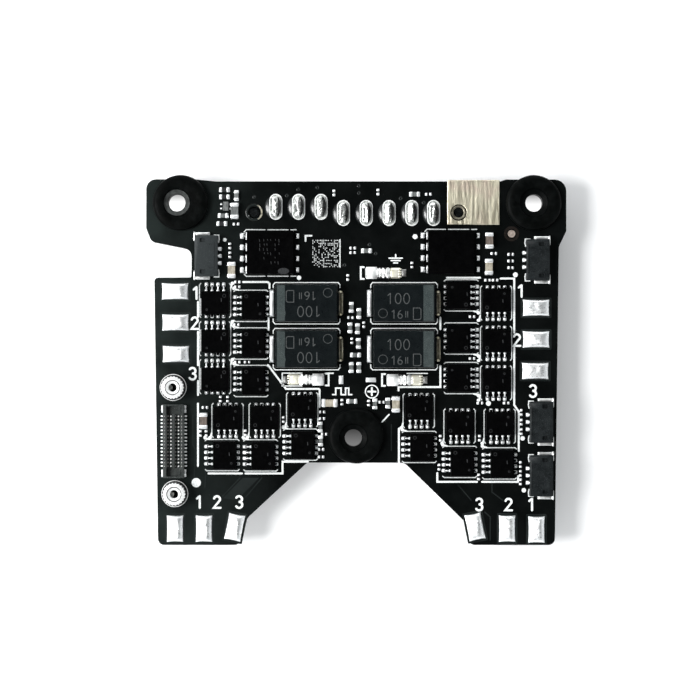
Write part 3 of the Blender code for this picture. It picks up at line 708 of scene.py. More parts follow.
SUPPLY_PITCH = 1.27
SUPPLY_MARKS = 6
SUPPLY_MARK_SHARE = 0.6
SUPPLY_MARK_SEED = 7


def add_supply_outline(lines, reach, sides):
    """Broken printed lines along a battery transistor."""
    for side in sides:
        end, corner = side * reach, (-2.7, side * (reach + 0.02))
        lines.stroke([corner, (-0.6, end)], LINE)
        lines.stroke([(-0.3, end), (2.0, end)], LINE)
        lines.stroke([(2.3, end), (2.9, end)], LINE)
        lines.stroke([(-2.95, side * (reach - 0.25)), corner], LINE)


def add_supply_marks(marks):
    """Scattered ticks like worn laser marks, with a smudge below them."""
    generator = random.Random(SUPPLY_MARK_SEED)
    for row in range(SUPPLY_MARKS):
        for column in range(SUPPLY_MARKS):
            if generator.random() < SUPPLY_MARK_SHARE:
                x = -1.15 + column * 0.42 + generator.uniform(-0.08, 0.08)
                y = 1.5 - row * 0.5
                marks.stroke([(x, y), (x + 0.03, y - generator.uniform(0.1, 0.34))], 0.07, 0.006, 0)
    marks.mound(ellipse(1.3, 0.7, 12), [(1, 0), (0.9, 0.006)], 0.0, (1.5, -2.05))


def make_supply_fets():
    """Leads, solder, outline and faint markings of the two battery transistors."""
    leads, lines, marks = new_shapes(3)
    for name, centre, size in placed("battery_mosfet_"):
        aim((leads, lines), *centre.xy)
        drain = -size.x / 2 - 0.1
        for along in centred(4, -SUPPLY_PITCH):
            leads.cushion((0.52, 0.66), 0.26, (drain, along), lumps=0.05, steps=(6, 8))
            leads.cushion((0.38, 0.58), 0.22, (size.x / 2, along), lumps=0.05, steps=(6, 8))
            leads.block((0.13, 0.86, 0.3), (drain + 0.46, along, 0), 0.03, 0.04)
        marked = name.endswith("left")
        add_supply_outline(lines, size.y / 2 + 0.18, SIDES if marked else (1,))
        if marked:
            marks.at(*centre.xy, centre.z + size.z / 2)
            add_supply_marks(marks)
    leads.finish("battery_fet_leads", solder, "solder", smooth=50)
    lines.finish("battery_fet_outlines", thin_ink, "silkscreen")
    marks.finish("battery_fet_marks", faint_mark, "mould_compound")


# ---- capacitors

# For the left and the right pair: width and inset of the band, thickness of the clip, shift of the print
CAP_BAND = {"left": (0.9, 0.81), "right": (1.15, 0.95)}
CAP_CLIP = {"left": 0.2, "right": 0.12}
CAP_PRINT_SHIFT = {"left": (0.15, 0.2), "right": (-0.25, -0.25)}
CAP_VALUES = (("100", 1.15, (-0.45, 0.75)), ("16", 0.9, (-0.6, -1.0)))
CAP_TICKS = (0.4, 0.62)
CAP_FRAME = (
    (1.25, -1.6), (1.25, -0.3), (1.95, -0.3), (2.1, -0.45), (2.1, -1.45), (1.95, -1.6), (1.27, -1.6),
)
CAP_INK = 0.012


def add_capacitor_metal(joints, clips, feet, side, half):
    """Solder at one end of a capacitor, and a clip with its feet at the other."""
    end = 1 if side == "left" else -1
    joints.cushion((0.56, 3.05), 0.5, (end * (half + 0.24), 0), lumps=0.06, steps=(8, 20))
    clips.block((CAP_CLIP[side], 2.5, 1.05), (end * (0.02 - half), 0, 0), 0.04, 0.04)
    clips.block((0.42, 2.4, 0.12), (-end * (half + 0.25), 0, 0), 0.03, 0.05)
    feet.block((0.13, 2.1, 0.16), (-end * (half + 0.36), 0, 0), 0.04, 0.04)
    for across in (-1.28, 1.28):
        feet.mound(ellipse(0.5, 0.3, 12), dome(0.3, 4), 0, (-end * (half + 0.15), across), 0.06, 3)


def add_capacitor_outline(lines, x, y):
    """Two printed brackets with cut corners."""
    for side in SIDES:
        short, shoulder = side * 1.75, side * (y - 0.25)
        lines.stroke([(-x, short), (-x, shoulder), (0.2 - x, side * y), (x - 0.2, side * y),
                      (x, shoulder), (x, short)], LINE)


def add_capacitor_print(bands, marks, place, side, turn, half):
    """Polarity band, a made-up value and plain marks on top of a capacitor."""
    width, inset = CAP_BAND[side]
    aim((bands, marks), *place, turn)
    bands.slab(rounded(width, 4.0, 0.04), 0.0, CAP_INK, (half - inset, 0))
    bands.slab(ellipse(0.95, 1.1, 24), 0.0, 0.02, (half - inset - 0.05, 1.15))
    marks.ring(0.5, 0.06, 0.01, (-2.4, -1.15), 0.0, 24)
    spin = Matrix.Rotation(math.radians(turn), 4, "Z")
    start = place + spin @ Vector((*CAP_PRINT_SHIFT[side], 0))
    for text, height, (x, y) in CAP_VALUES:
        marks.at(*(start + spin @ Vector((x, y, 0))), turn)
        marks.digits(text, height, 0.1, 0, CAP_INK)
    marks.at(*start, turn)
    for x in CAP_TICKS:
        marks.stroke([(x, -0.68), (x, -1.34)], 0.09, CAP_INK, 0)
    marks.stroke(CAP_FRAME, 0.09, CAP_INK, 0)


def make_capacitors():
    """Terminals, polarity band, printed values and outline of the four tantalum capacitors."""
    joints, clips, feet, bands, marks, lines = new_shapes(6)
    for name, centre, size in placed("capacitor_"):
        side = name.rsplit("_", 1)[1]
        turn = 180 if side == "left" else 0
        half = size.x / 2
        aim((joints, clips, feet, lines), *centre.xy, 0, turn)
        add_capacitor_metal(joints, clips, feet, side, half)
        add_capacitor_outline(lines, half + 0.1, size.y / 2 + 0.2)
        top = Vector((centre.x, centre.y, centre.z + size.z / 2))
        add_capacitor_print(bands, marks, top, side, turn, half)
    joints.finish("capacitor_solder", solder, "solder", smooth=50)
    clips.finish("capacitor_terminals", dull_brass, "tin", smooth=50)
    feet.finish("capacitor_feet", brassy, "tin", smooth=50)
    bands.finish("capacitor_bands", band_paint, "tantalum_case", smooth=40)
    marks.finish("capacitor_marks", laser_mark, "silkscreen")
    lines.finish("capacitor_outlines", ink, "silkscreen")


# ---- pads and solder joints

# Half width, half length and height of each ring, for a joint's rim and for what it holds
JOINT_RIM = (
    (0.73, 1.46, 0.0), (0.725, 1.455, 0.13), (0.7, 1.43, 0.2), (0.65, 1.38, 0.2), (0.61, 1.34, 0.12),
    (0.61, 1.34, 0.0),
)
JOINT_HEART = (
    (0.62, 1.35, 0.02), (0.6, 1.32, 0.1), (0.56, 1.28, 0.12), (0.52, 1.24, 0.16), (0.48, 1.2, 0.24),
    (0.45, 1.15, 0.34), (0.38, 1.05, 0.42), (0.28, 0.92, 0.46), (0.17, 0.75, 0.47), (0.06, 0.5, 0.46),
)
JOINT_SMOOTH_RINGS = 3
JOINT_FLOOR = 0.31
FOLD_TOP = 0.58
# Height above which a joint leans to the left, and how far it leans for each millimetre
LEAN_START = 0.3
LEAN = 0.1 / 0.17


def add_joint_rim(rims):
    """The smooth ring of solder round a slot."""
    rims.loft([
        [(x, y, height) for x, y in rounded(2 * wide, 2 * long, wide * 0.999, 10)]
        for wide, long, height in JOINT_RIM
    ], closed=True)


def add_joint_heart(hearts):
    """Crumpled solder that leans to the left inside its rim."""
    rings = []
    for wide, long, height in JOINT_HEART:
        lean = -LEAN * max(0.0, height - LEAN_START)
        corner = min(wide * 0.999, 0.34 if height > 0.19 else wide)
        rings.append([(x + lean, y, height) for x, y in rounded(2 * wide, 2 * long, corner, 6)])
    rows = hearts.loft(rings)
    for index, row in enumerate(rows[JOINT_SMOOTH_RINGS:]):
        for vert in row:
            rough = noise.noise(vert.co * 2.6) * 0.14 + noise.noise(vert.co * 6.5) * 0.07
            lowest = JOINT_FLOOR if index > 1 else vert.co.z
            vert.co.z = min(max(vert.co.z + rough, lowest), FOLD_TOP - 0.02)
            vert.co.x += noise.noise(vert.co * 4.1 + Vector((7, 0, 0))) * 0.06


def add_joint_fold(folds, seed):
    """The ragged fold on the right of a crest, painted near-black as shade."""
    turns = [math.radians(angle) for angle in range(-80, 81, 10)]
    outer = [(0.1 + 0.46 * math.cos(turn), 1.16 * math.sin(turn)) for turn in turns]
    inner = []
    for turn in turns:
        inset = 0.2 + 0.13 * noise.noise(Vector((seed, 2.4 * math.sin(turn), 3)))
        inner.append((inset + 0.04 * math.cos(turn), 1.02 * math.sin(turn)))
    folds.stack(outer + inner[::-1], (0.1, FOLD_TOP - 0.1, FOLD_TOP))


def make_battery_joints():
    """Solder round each battery tab: a rim painted bright as a highlight, a crumpled crest and a fold on its
    right painted dark as shade.
    """
    rims, hearts, residue, folds = new_shapes(4)
    for name, centre, _ in placed("battery_blade_"):
        x, y = centre.x, corners(name)[0].y + 1.0
        aim((rims, hearts, folds), x, y)
        add_joint_rim(rims)
        add_joint_heart(hearts)
        add_joint_fold(folds, x)
        residue.at(x - 0.3, y - 0.05)
        residue.mound(ellipse(1.9, 2.5, 32),
                      [(1 - 0.4 * step / 8, 0.1 * (step / 8) ** 2) for step in range(9)])
    rims.finish("battery_tab_solder", rim_solder_painted_highlight, "solder", smooth=60)
    hearts.finish("battery_tab_crests", crumpled, "solder", smooth=60)
    residue.finish("battery_tab_flux", flux_film, "solder_mask", smooth=60)
    folds.finish("battery_tab_fold_shade", fold_shade_solder, "solder", smooth=60)


PADS = {
    "upper_left": (((-20.35, 7.95), (-20.3, 4.45), (-20.25, 0.9)), (90, 90, 90)),
    "upper_right": (((20.2, 6.1), (20.2, 2.55), (20.1, -1.0)), (90, 90, 90)),
    "lower_left": (((-20.35, -18.7), (-17.1, -18.7), (-13.65, -18.55)), (0, 0, -11.2)),
    "lower_right": (((20.25, -18.8), (16.95, -18.7), (13.35, -18.5)), (0, 0, 11.2)),
}
PAD_SIZE = (1.85, 2.98)
PAD_HEIGHT = 0.42


def make_phase_pads():
    """Three swollen solder pads for each motor, each in a window of thinner mask."""
    windows = Shape()
    for bank, (places, turns) in PADS.items():
        shape = Shape()
        for (x, y), turn in zip(places, turns):
            aim((shape, windows), x, y, 0, turn)
            way = Matrix.Rotation(math.radians(-turn), 2) @ Vector((1, 0))
            shape.cushion(PAD_SIZE, PAD_HEIGHT, waist=0.03, lumps=0.03, steps=(20, 26), crest=way)
            windows.slab(rounded(PAD_SIZE[0] + 0.45, PAD_SIZE[1] + 0.5, 0.15), 0.0, 0.025)
        shape.finish(f"motor_pads_{bank}", pad_solder, "solder", smooth=60)
    windows.finish("motor_pad_windows", pour_mask, "solder_mask", smooth=40)


PEG_LEFT = (-11.46, 16.82)
TARGET = (17.45, 14.42)
# Place and size of the two bare pads, and places of the beads by the peg hole
BARE_PADS = ((-1.7, -2.0, 0.5, 0.95), (1.65, -2.0, 1.1, 0.5))
PEG_BEADS = ((-0.82, -0.25), (-0.8, 0.12), (-0.62, -0.38), (-0.3, -0.7))


def make_contact_pads():
    """Bare pads, the alignment target and the worn rim of the open peg hole."""
    tinned = Shape()
    for x, y, width, length in BARE_PADS:
        tinned.at(x, y).cushion((width, length), 0.06, lumps=0.02, steps=(6, 8))
    for x, y in PEG_BEADS:
        tinned.at(PEG_LEFT[0] + x, PEG_LEFT[1] + y).mound(ellipse(0.16, 0.12, 8), dome(0.05, 2))
    tinned.finish("test_pads", solder, "solder", smooth=50)
    copper, bare, rim, glint = new_shapes(4)
    aim((copper, bare), *TARGET)
    copper.mound(ellipse(0.85, 0.85, 28), [(1, 0), (0.97, 0.035), (0.3, 0.04)], 0.0, (0, 0), 0.012, 5)
    copper.finish("alignment_target", dull_copper, "contact_copper", smooth=40)
    bare.ring(0.7, 0.3, 0.012)
    bare.finish("alignment_target_window", laminate, "solder_mask", smooth=40)
    aim((rim, glint), *PEG_LEFT)
    rim.lathe([(0.7, 0.0), (0.74, 0.06), (0.86, 0.08), (0.96, 0.05), (0.98, 0.0)], steps=36)
    rim.finish("peg_hole_rim", pour_mask, "solder_mask", smooth=40)
    glint.slab(arc((0, 0), (0.94, 0.94), -58, 62, 14) + arc((-0.12, 0), (0.88, 0.88), 62, -58, 14),
               0.03, 0.1)
    glint.finish("peg_hole_plating", brassy, "tin", smooth=40)


# ---- spring contacts

SPRING_TURNS = {
    "spring_contact_ground": 0, "spring_contact_signal": 180, "spring_contact_supply": 0,
}
# Along the leaf: place, half width, height of its middle
SPRING_LEAF = (
    (-2.0, 0.5, 0.3), (-1.93, 0.59, 0.55), (-1.75, 0.64, 0.74), (-1.45, 0.66, 0.88), (-1.15, 0.66, 0.92),
    (-0.85, 0.64, 0.84), (-0.62, 0.52, 0.66), (-0.5, 0.44, 0.5), (-0.36, 0.56, 0.64), (-0.2, 0.42, 0.48),
    (-0.05, 0.58, 0.7), (0.1, 0.52, 0.72), (0.26, 0.4, 0.5), (0.42, 0.56, 0.68), (0.58, 0.62, 0.6),
    (0.72, 0.52, 0.5), (0.8, 0.56, 0.46),
)
SPRING_THICKNESS = 0.1
SPRING_SMOOTH_RINGS = 7
SPRING_BRACKET = ((-2.15, -0.66), (-2.5, -0.66), (-2.5, 0.66), (-2.15, 0.66))
SPRING_FRAMES = {
    "spring_contact_signal": ((0.5, 0.72), (2.72, 0.72), (2.72, -0.72), (0.5, -0.72)),
    "spring_contact_supply": ((0.3, 0.74), (2.6, 0.74)),
}


def add_leaf(leaf):
    """A domed nose and pinched folds, crumpled towards the foot."""
    across = [step / 4 - 1 for step in range(9)]
    rings = []
    for x, half, height in SPRING_LEAF:
        crown = 0.24 if x < -0.6 else 0.1
        upper = [(x, half * v, height - crown * v * v) for v in across]
        lower = [(x, y, z - SPRING_THICKNESS) for x, y, z in reversed(upper)]
        rings.append(upper + lower)
    rows = leaf.loft(rings)
    for vert in itertools.chain(*rows[SPRING_SMOOTH_RINGS:]):
        vert.co.z += noise.noise(vert.co * 3.6) * 0.2


def make_spring_contacts():
    """Folded leaf contacts: a domed nose, pinched folds and a slotted gilt foot."""
    feet, tails, lines, roots = new_shapes(4)
    for name, turn in SPRING_TURNS.items():
        centre, _ = spot(name)
        leaf = Shape()
        aim((leaf, feet, tails, lines, roots), *centre.xy, 0, turn)
        add_leaf(leaf)
        for side in SIDES:
            # The roots under the leaf's edges are near-black metal: painted shade
            roots.block((1.5, 0.08, 0.4), (0.15, side * 0.58, 0.0), 0.02, 0.02)
            leaf.block((1.2, 0.09, 0.5), (-1.3, side * 0.62, 0.0), 0.02, 0.02)
        leaf.finish(f"{name}_formed", satin, "tin", smooth=40, stands_for=[name])
        feet.cushion((1.25, 1.24), 0.28, (1.3, -0.02), lumps=0.05, steps=(10, 10))
        for y in centred(4, 0.28):
            feet.block((0.42, 0.17, 0.34), (1.85, y, 0), 0.04, 0.03)
        tails.cushion((0.55, 0.85), 0.1, (2.33, 0.0), lumps=0.03, steps=(6, 8))
        lines.stroke(SPRING_BRACKET, 0.2)
        if name in SPRING_FRAMES:
            lines.stroke(SPRING_FRAMES[name], 0.12)
    roots.finish("spring_contact_roots", painted_shade_metal, "tin", smooth=45)
    feet.finish("spring_contact_feet", gilt, "tin", smooth=45)
    tails.finish("spring_contact_tails", dull_tin, "solder", smooth=45)
    lines.finish("spring_contact_outlines", ink, "silkscreen")


# ---- printed lines and symbols

BOLD = 0.21
FINE = 0.16
NUMBER_HEIGHT = 1.3
NUMBER_WIDTH = 0.24
BOLD_LINES = (
    ((-17.78, 6.75), (-17.78, 5.07)),
    ((-17.78, 3.4), (-17.78, -0.35)),
    ((-17.78, -2.12), (-17.78, -3.7)),
    ((-17.78, -4.65), (-17.78, -11.67)),
    ((-12.72, 9.0), (-9.95, 9.0), (-9.74, 8.83), (-9.74, 8.3)),
    ((-9.85, 4.96), (-9.85, 3.61)),
    ((-9.91, -0.33), (-7.89, -3.01), (-4.2, -3.01), (-4.12, -3.1), (-4.12, -5.04)),
    ((-16.6, -12.51), (-12.83, -12.51)),
    ((-12.44, -12.51), (-8.28, -12.51), (-8.28, -11.19), (-5.42, -11.19)),
    ((10.2, 9.48), (13.91, 9.48)),
    ((16.21, 9.39), (17.75, 9.39), (17.75, 3.3)),
    ((17.75, 1.65), (17.75, -4.82), (18.26, -5.55), (18.26, -9.99)),
    ((4.75, -3.19), (4.75, -2.8), (9.45, -2.8), (9.45, -0.44)),
    ((9.11, -12.46), (9.11, -13.45), (13.57, -13.45)),
    ((14.13, -13.45), (18.18, -13.45), (18.18, -12.8)),
    ((4.79, -7.46), (4.79, -11.34)),
    ((9.45, 5.0), (9.45, 3.7)),
)
FINE_LINES = (
    ((2.9, -6.73), (3.69, -5.89)),
    ((-3.3, -1.25), (-2.6, -1.25)),
)
PHASE_NUMBERS = (
    ("1", -18.02, 7.76), ("2", -18.15, 4.38), ("3", -18.4, -1.3),
    ("1", 18.5, 7.99), ("2", 18.05, 2.48), ("3", 19.84, -3.25),
    ("1", -17.66, -15.72), ("2", -15.64, -15.72), ("3", -13.17, -15.72),
    ("3", 13.8, -16.0), ("2", 17.11, -16.0), ("1", 19.67, -16.0),
)
# Place and width
DOTS = (
    (-17.98, -13.55, 1.04), (14.85, -4.64, 0.55), (17.88, 9.81, 0.55), (18.69, -8.57, 0.5),
    (18.83, -14.4, 0.5), (-6.43, 9.48, 0.5), (6.61, 14.1, 0.55), (-14.77, 13.74, 0.42),
)
GROUND_RUNGS = (1.5, 1.0, 0.45)
SQUARE_WAVE = (
    (-1.05, -0.35), (-0.7, -0.35), (-0.7, 0.38), (-0.1, 0.38), (-0.1, -0.35), (0.4, -0.35),
    (0.4, 0.38), (0.75, 0.38), (0.75, -0.35), (1.1, -0.35),
)


def make_symbols():
    """Ground bars, a square wave and a plus sign in a circle."""
    symbols = Shape().at(4.43, 11.58)
    for rung, width in enumerate(GROUND_RUNGS):
        y = 0.1 - rung * 0.27
        symbols.stroke([(-width / 2, y), (width / 2, y)], 0.15)
    symbols.stroke([(0, 0.1), (0, 0.5)], 0.15)
    symbols.at(-1.6, -3.3).stroke(SQUARE_WAVE, FINE)
    symbols.at(1.75, -3.31)
    symbols.stroke([(-0.42, 0), (0.42, 0)], 0.2)
    symbols.stroke([(0, -0.42), (0, 0.42)], 0.2)
    symbols.ring(0.72, 0.12, INK)
    symbols.finish("supply_symbols", ink, "silkscreen")


def make_board_print():
    """Section lines, phase numbers, symbols and dots in white ink."""
    lines, marks, dots = new_shapes(3)
    for points in BOLD_LINES:
        lines.stroke(points, BOLD)
    for points in FINE_LINES:
        lines.stroke(points, FINE)
    lines.finish("section_lines", ink, "silkscreen")
    for text, x, y in PHASE_NUMBERS:
        marks.at(x, y).digits(text, NUMBER_HEIGHT, NUMBER_WIDTH)
    marks.finish("phase_numbers", ink, "silkscreen")
    make_symbols()
    for x, y, width in DOTS:
        dots.at(x, y).slab(ellipse(width, width, 24), LIFT, LIFT + INK)
    dots.finish("index_dots", ink, "silkscreen")


CODE_CENTRE = (-3.4, 12.2)
CODE_CELLS = 18
CODE_CELL = 3.12 / CODE_CELLS
CODE_SHARE = 0.44
CODE_EDGE_SHARE = 0.56
CODE_SEED = 20


def make_dot_pattern():
    """A square of scattered print that reads as a code but holds nothing."""
    shape = Shape().at(*CODE_CENTRE)
    generator = random.Random(CODE_SEED)
    for row, y in enumerate(centred(CODE_CELLS, CODE_CELL)):
        share = CODE_EDGE_SHARE if row in (0, CODE_CELLS - 1) else CODE_SHARE
        for x in centred(CODE_CELLS, CODE_CELL):
            if generator.random() < share:
                wide = CODE_CELL * generator.uniform(0.55, 0.75)
                tall = CODE_CELL * generator.uniform(0.55, 0.8)
                shape.slab(rounded(wide, tall, CODE_CELL * 0.2, 1), LIFT, LIFT + INK, (x, y))
    half = CODE_CELLS * CODE_CELL / 2
    shape.stroke([(half + 0.02, -half), (half + 0.02, half)], 0.12)
    shape.at(CODE_CENTRE[0] - 2.0, CODE_CENTRE[1] + 1.75)
    shape.stroke([(-0.3, -0.35), (-0.3, 0.25), (0.38, 0.25)], 0.2)
    shape.finish("scattered_print", thin_ink, "silkscreen")


# ---- small chips

# Width, length between the ends, height and the share of the length that each end cap takes
CHIP_SIZES = {
    "large": (0.88, 1.62, 0.75, 0.21), "medium": (0.52, 1.05, 0.45, 0.26), "small": (0.3, 0.62, 0.28, 0.33),
}
# Size, colour, turn and places
CHIPS = (
    ("large", "grey", 0, ((-13.65, 17.0),)),
    ("large", "tan", 0, ((-14.0, 10.35), (4.45, -4.75), (14.9, 10.7))),
    ("large", "brown", 0, ((14.95, 13.65), (-17.15, -6.6))),
    ("large", "tan", 90, ((-3.0, -4.6),)),
    ("medium", "grey", 0, (
        (-13.45, 18.7), (-0.55, 6.15), (-0.7, 3.85), (0.3, 5.45), (0.15, 3.75), (0.25, 2.1),
        (-0.55, -0.6), (0.3, -0.6), (2.1, -4.7), (3.55, -4.6), (-4.05, -7.3), (-4.0, -8.85),
    )),
    ("medium", "grey", 90, ((-14.95, 16.45), (6.55, 18.85), (1.15, 12.5), (-0.1, 0.8), (-0.5, -4.4))),
    ("medium", "black", 90, ((-14.8, 19.35), (-14.8, 18.55), (-15.1, 15.55))),
    ("small", "grey", 0, ((-2.5, 19.0), (2.45, 19.1))),
    ("small", "black", 90, (
        (-13.5, 15.5), (8.1, 18.85), (15.45, 12.2), (17.35, 12.1), (17.35, 11.35), (17.35, 10.6),
        (14.75, 9.2), (15.6, 9.2), (13.0, 5.1), (13.0, 0.4), (13.9, -4.6), (16.85, -4.6),
        (-0.65, 5.0), (2.85, -4.5), (-17.0, -5.1), (-3.85, -5.6), (-3.85, -6.35), (-3.6, -8.1),
        (-3.95, -9.8), (-3.95, -10.65), (-13.35, 9.0), (-13.35, 8.45), (-13.45, 4.2), (-13.35, 0.0),
        (-12.25, 0.0), (-0.4, 12.3), (-0.4, 12.8),
    )),
    ("small", "black", 0, (
        (-14.2, 13.05), (-14.2, 12.05), (-1.6, -4.5), (1.4, -4.6), (0.85, 4.2), (-0.5, 2.4),
        (-8.2, -6.45), (-12.45, -7.95), (18.55, -5.65), (18.55, -6.75), (18.55, -7.8),
        (18.45, -11.5), (18.45, -12.5), (18.45, -13.45), (9.45, -8.55), (9.3, -11.8),
        (13.85, -8.55), (13.75, -12.9), (-17.5, -8.0), (-16.85, -8.0), (6.25, 10.9),
        (-0.95, 9.5), (-14.45, -4.15), (-15.25, -4.15),
    )),
)
SENSOR_SPOT = (-14.65, 17.5)


def add_chip(bodies, ends, kind, x, y, turn=0, flip=False):
    """One chip part: a ceramic body between two wrapped end caps with solder at their feet."""
    width, length, height, share = CHIP_SIZES[kind]
    aim((bodies, ends), x, y, -THICK if flip else 0.0, turn, flip)
    bodies.block((width * 0.92, length * 0.9, height * 0.92), (0, 0, 0.02), 0.03, 0.03)
    cap = length * share
    for side in SIDES:
        ends.block((width, cap, height), (0, side * (length - cap) / 2, 0.02), 0.05, 0.05)
        ends.mound(rounded(width * 1.02, cap * 1.3, 0.05), dome(height * 0.4, 3), 0.0,
                   (0, side * (length / 2 - cap * 0.3)), 0.03, 4)


def make_chips():
    """Capacitors and resistors soldered between the larger parts, and a four-legged sensor."""
    ends, sensor, feet = new_shapes(3)
    bodies = {colour: Shape() for colour in CERAMICS}
    for kind, colour, turn, places in CHIPS:
        for x, y in places:
            add_chip(bodies[colour], ends, kind, x, y, turn)
    ends.finish("chip_end_caps", solder, "solder", smooth=45)
    for colour, shape in bodies.items():
        shape.finish(f"chip_bodies_{colour}", CERAMICS[colour], "chip_ceramic")
    aim((sensor, feet), *SENSOR_SPOT)
    sensor.block((0.62, 1.0, 0.5), (0, 0, 0.02), 0.05, 0.04)
    sensor.finish("supply_sensor", CERAMICS["grey"], "mould_compound")
    for x, y in itertools.product((-0.5, 0.5), (-0.25, 0.25)):
        feet.mound(rounded(0.28, 0.24, 0.06), dome(0.16, 3), 0.0, (x, y), 0.02, 4)
    feet.finish("supply_sensor_leads", solder, "solder", smooth=45)


# ---- sockets and stacking connector

SOCKET_BODY = (2.6, 4.6, 1.35)
SOCKET_MOUTH = (2.0, 3.5, 0.8)
SOCKET_PITCH = 0.8
EAR_PROUD = 0.05
EAR_SIZE = (1.74, 0.34, 0.5)


def make_socket_shell(name, place, mouth):
    """A hollow moulded body with pockets in its top."""
    body, tool = new_shapes(2)
    aim((body, tool), *place)
    length, _, height = SOCKET_BODY
    middle, back = mouth - length / 2, mouth - length
    body.block(SOCKET_BODY, (middle, 0, 0.03), 0.07, 0.1)
    tool.block(SOCKET_MOUTH, (mouth - SOCKET_MOUTH[0] / 2 + 0.2, 0, 0.3), 0.04, 0.05)
    for side in SIDES:
        tool.block((0.62, 0.48, 0.9), (middle + 0.4, side * 1.77, height - 0.2), 0, 0.12)
        tool.block((0.5, 0.16, 0.4), (back + 0.75, side * 1.3, height - 0.02), 0, 0.02)
    tool.block((0.14, 3.0, 0.3), (back + 0.32, 0, height - 0.02), 0, 0.02)
    body.carve(tool)
    body.finish(f"{name}_shell", plastic, "socket_plastic", smooth=40, stands_for=[name])


def make_sockets():
    """Side-entry sockets: shells, pins, tails, solder ears and printed corners."""
    ears, tails, lines, pins = new_shapes(4)
    length, width, _ = SOCKET_BODY
    ear_length, ear_width, _ = EAR_SIZE
    for name, centre, size in placed("signal_socket_"):
        place = (centre.x, centre.y, 0, 180 if name.endswith("left") else 0)
        face = size.x / 2
        mouth = face - EAR_PROUD
        back = mouth - length
        make_socket_shell(name, place, mouth)
        aim((ears, tails, lines, pins), *place)
        for side in SIDES:
            edge = side * width / 2
            ears.block(EAR_SIZE, (face - ear_length / 2, edge + side * ear_width / 2, 0), 0.05, 0.05)
            ears.block((0.16, 1.05, 0.62), (face - 0.02, edge - side * 0.12, 0), 0.03, 0.03)
            rim = edge + side * 0.05
            lines.stroke([(back - 0.05, side * 1.55), (back - 0.12, side * 1.9), (back - 0.08, rim),
                          (back + 0.45, rim)], LINE)
        for y in centred(3, SOCKET_PITCH):
            tails.mound(rounded(0.4, 0.46, 0.08), dome(0.24, 4), 0, (back - 0.22, y), 0.05, 4)
            tails.block((0.3, 0.24, 0.5), (back - 0.04, y, 0), 0.08, 0.03)
            pins.block((1.5, 0.2, 0.2), (mouth - length / 2 + 0.1, y, 0.6), 0.03, 0.02)
    ears.finish("socket_ears", tin, "tin", smooth=45)
    tails.finish("socket_tails", solder, "solder", smooth=45)
    pins.finish("socket_pins", gold, "contact_copper", smooth=45)
    lines.finish("socket_outlines", ink, "silkscreen")


STACK_PINS = 15
STACK_PITCH = 0.4
STACK_BODY = (2.36, 8.25, 1.1)
STACK_CHANNEL = (0.6, 6.05, 1.4)
STACK_CHANNEL_MIDDLE = 0.45
STACK_POCKET = (1.4, 0.97, 1.4)
# Distance from the middle, width and height of the springs seen in the channels and on the walls; the lit
# ones are painted bright and the shaded ones painted dim, as light from the left falls on them
STACK_LIT_TIPS = ((-0.28, 0.15, 0.8), (0.56, 0.15, 0.8))
STACK_SHADED_TIPS = ((-0.64, 0.13, 0.8), (0.23, 0.12, 0.8), (0.93, 0.14, 1.15), (-1.0, 0.1, 1.15))
STACK_FLOOR = 0.25


def make_stack_shell(centre):
    """The connector's walls and tongue, with a pocket at each end."""
    body, tool = new_shapes(2)
    aim((body, tool), *centre.xy)
    body.block(STACK_BODY, (0, 0, 0.03), 0.05, 0.12)
    for side in SIDES:
        tool.block(STACK_CHANNEL, (side * STACK_CHANNEL_MIDDLE, 0, 0.3), 0, 0.02)
        tool.block(STACK_POCKET, (-0.1, side * 3.47, 0.35), 0, 0.08)
        tool.block((0.1, 0.7, 0.3), (0.85, side * 3.5, STACK_BODY[2] - 0.05), 0, 0.02)
    body.carve(tool)
    body.finish("stacking_connector_shell", frame_plastic, "socket_plastic", smooth=40,
                stands_for=["stacking_connector"])


def make_stack_connector():
    """The fine-pitch connector: a shell, rows of springs, tails and hold-downs."""
    centre, _ = spot("stacking_connector")
    make_stack_shell(centre)
    lit_tips, shaded_tips, tails, holds = new_shapes(4)
    aim((lit_tips, shaded_tips), *centre.xy)
    wall = STACK_BODY[0] / 2
    for y in centred(STACK_PINS, STACK_PITCH):
        # Painted light: springs on the right of each channel, facing the light, are bright metal; the rest
        # are dull metal as shade
        for shape, columns in ((lit_tips, STACK_LIT_TIPS), (shaded_tips, STACK_SHADED_TIPS)):
            for x, wide, high in columns:
                shape.block((wide, 0.15, high - STACK_FLOOR), (x, y, STACK_FLOOR), 0.03, 0.04)
        for side in SIDES:
            tails.at(centre.x + side * wall, centre.y + y)
            tails.mound(rounded(0.36, 0.19, 0.05), dome(0.13, 3), 0, (side * 0.12, 0), 0.02, 5)
    for side, end in itertools.product(SIDES, SIDES):
        holds.at(centre.x + side * (wall + 0.08), centre.y + end * 3.6)
        holds.block((0.2, 0.85, 0.3), (0, 0, 0), 0.05, 0.05)
        for y in (-0.26, 0.26):
            holds.mound(rounded(0.32, 0.36, 0.08), dome(0.36, 3), 0, (0, y), 0.03, 4)
    tails.finish("stack_tails", solder, "solder", smooth=45)
    lit_tips.finish("stack_contacts_lit", satin, "contact_copper", smooth=45)
    shaded_tips.finish("stack_contacts_shaded", dull_tin, "contact_copper", smooth=45)
    holds.finish("stack_hold_downs", solder, "solder", smooth=45)


# ---- grommets, spacers, foil

# Middle of each bore from the middle of its flange
GROMMET_BORES = {
    "grommet_left": (-0.42, 0.02), "grommet_right": (0.04, 0.0), "grommet_centre": (-0.28, -0.24),
}
GROMMET_STEPS = 64
GROOVE_RADIUS = 2.15
LIP_RADIUS = 2.9
FOOT_RADIUS = 2.5
SOFT_RINGS = slice(6, 14)
SOFT_WAVE = 0.03
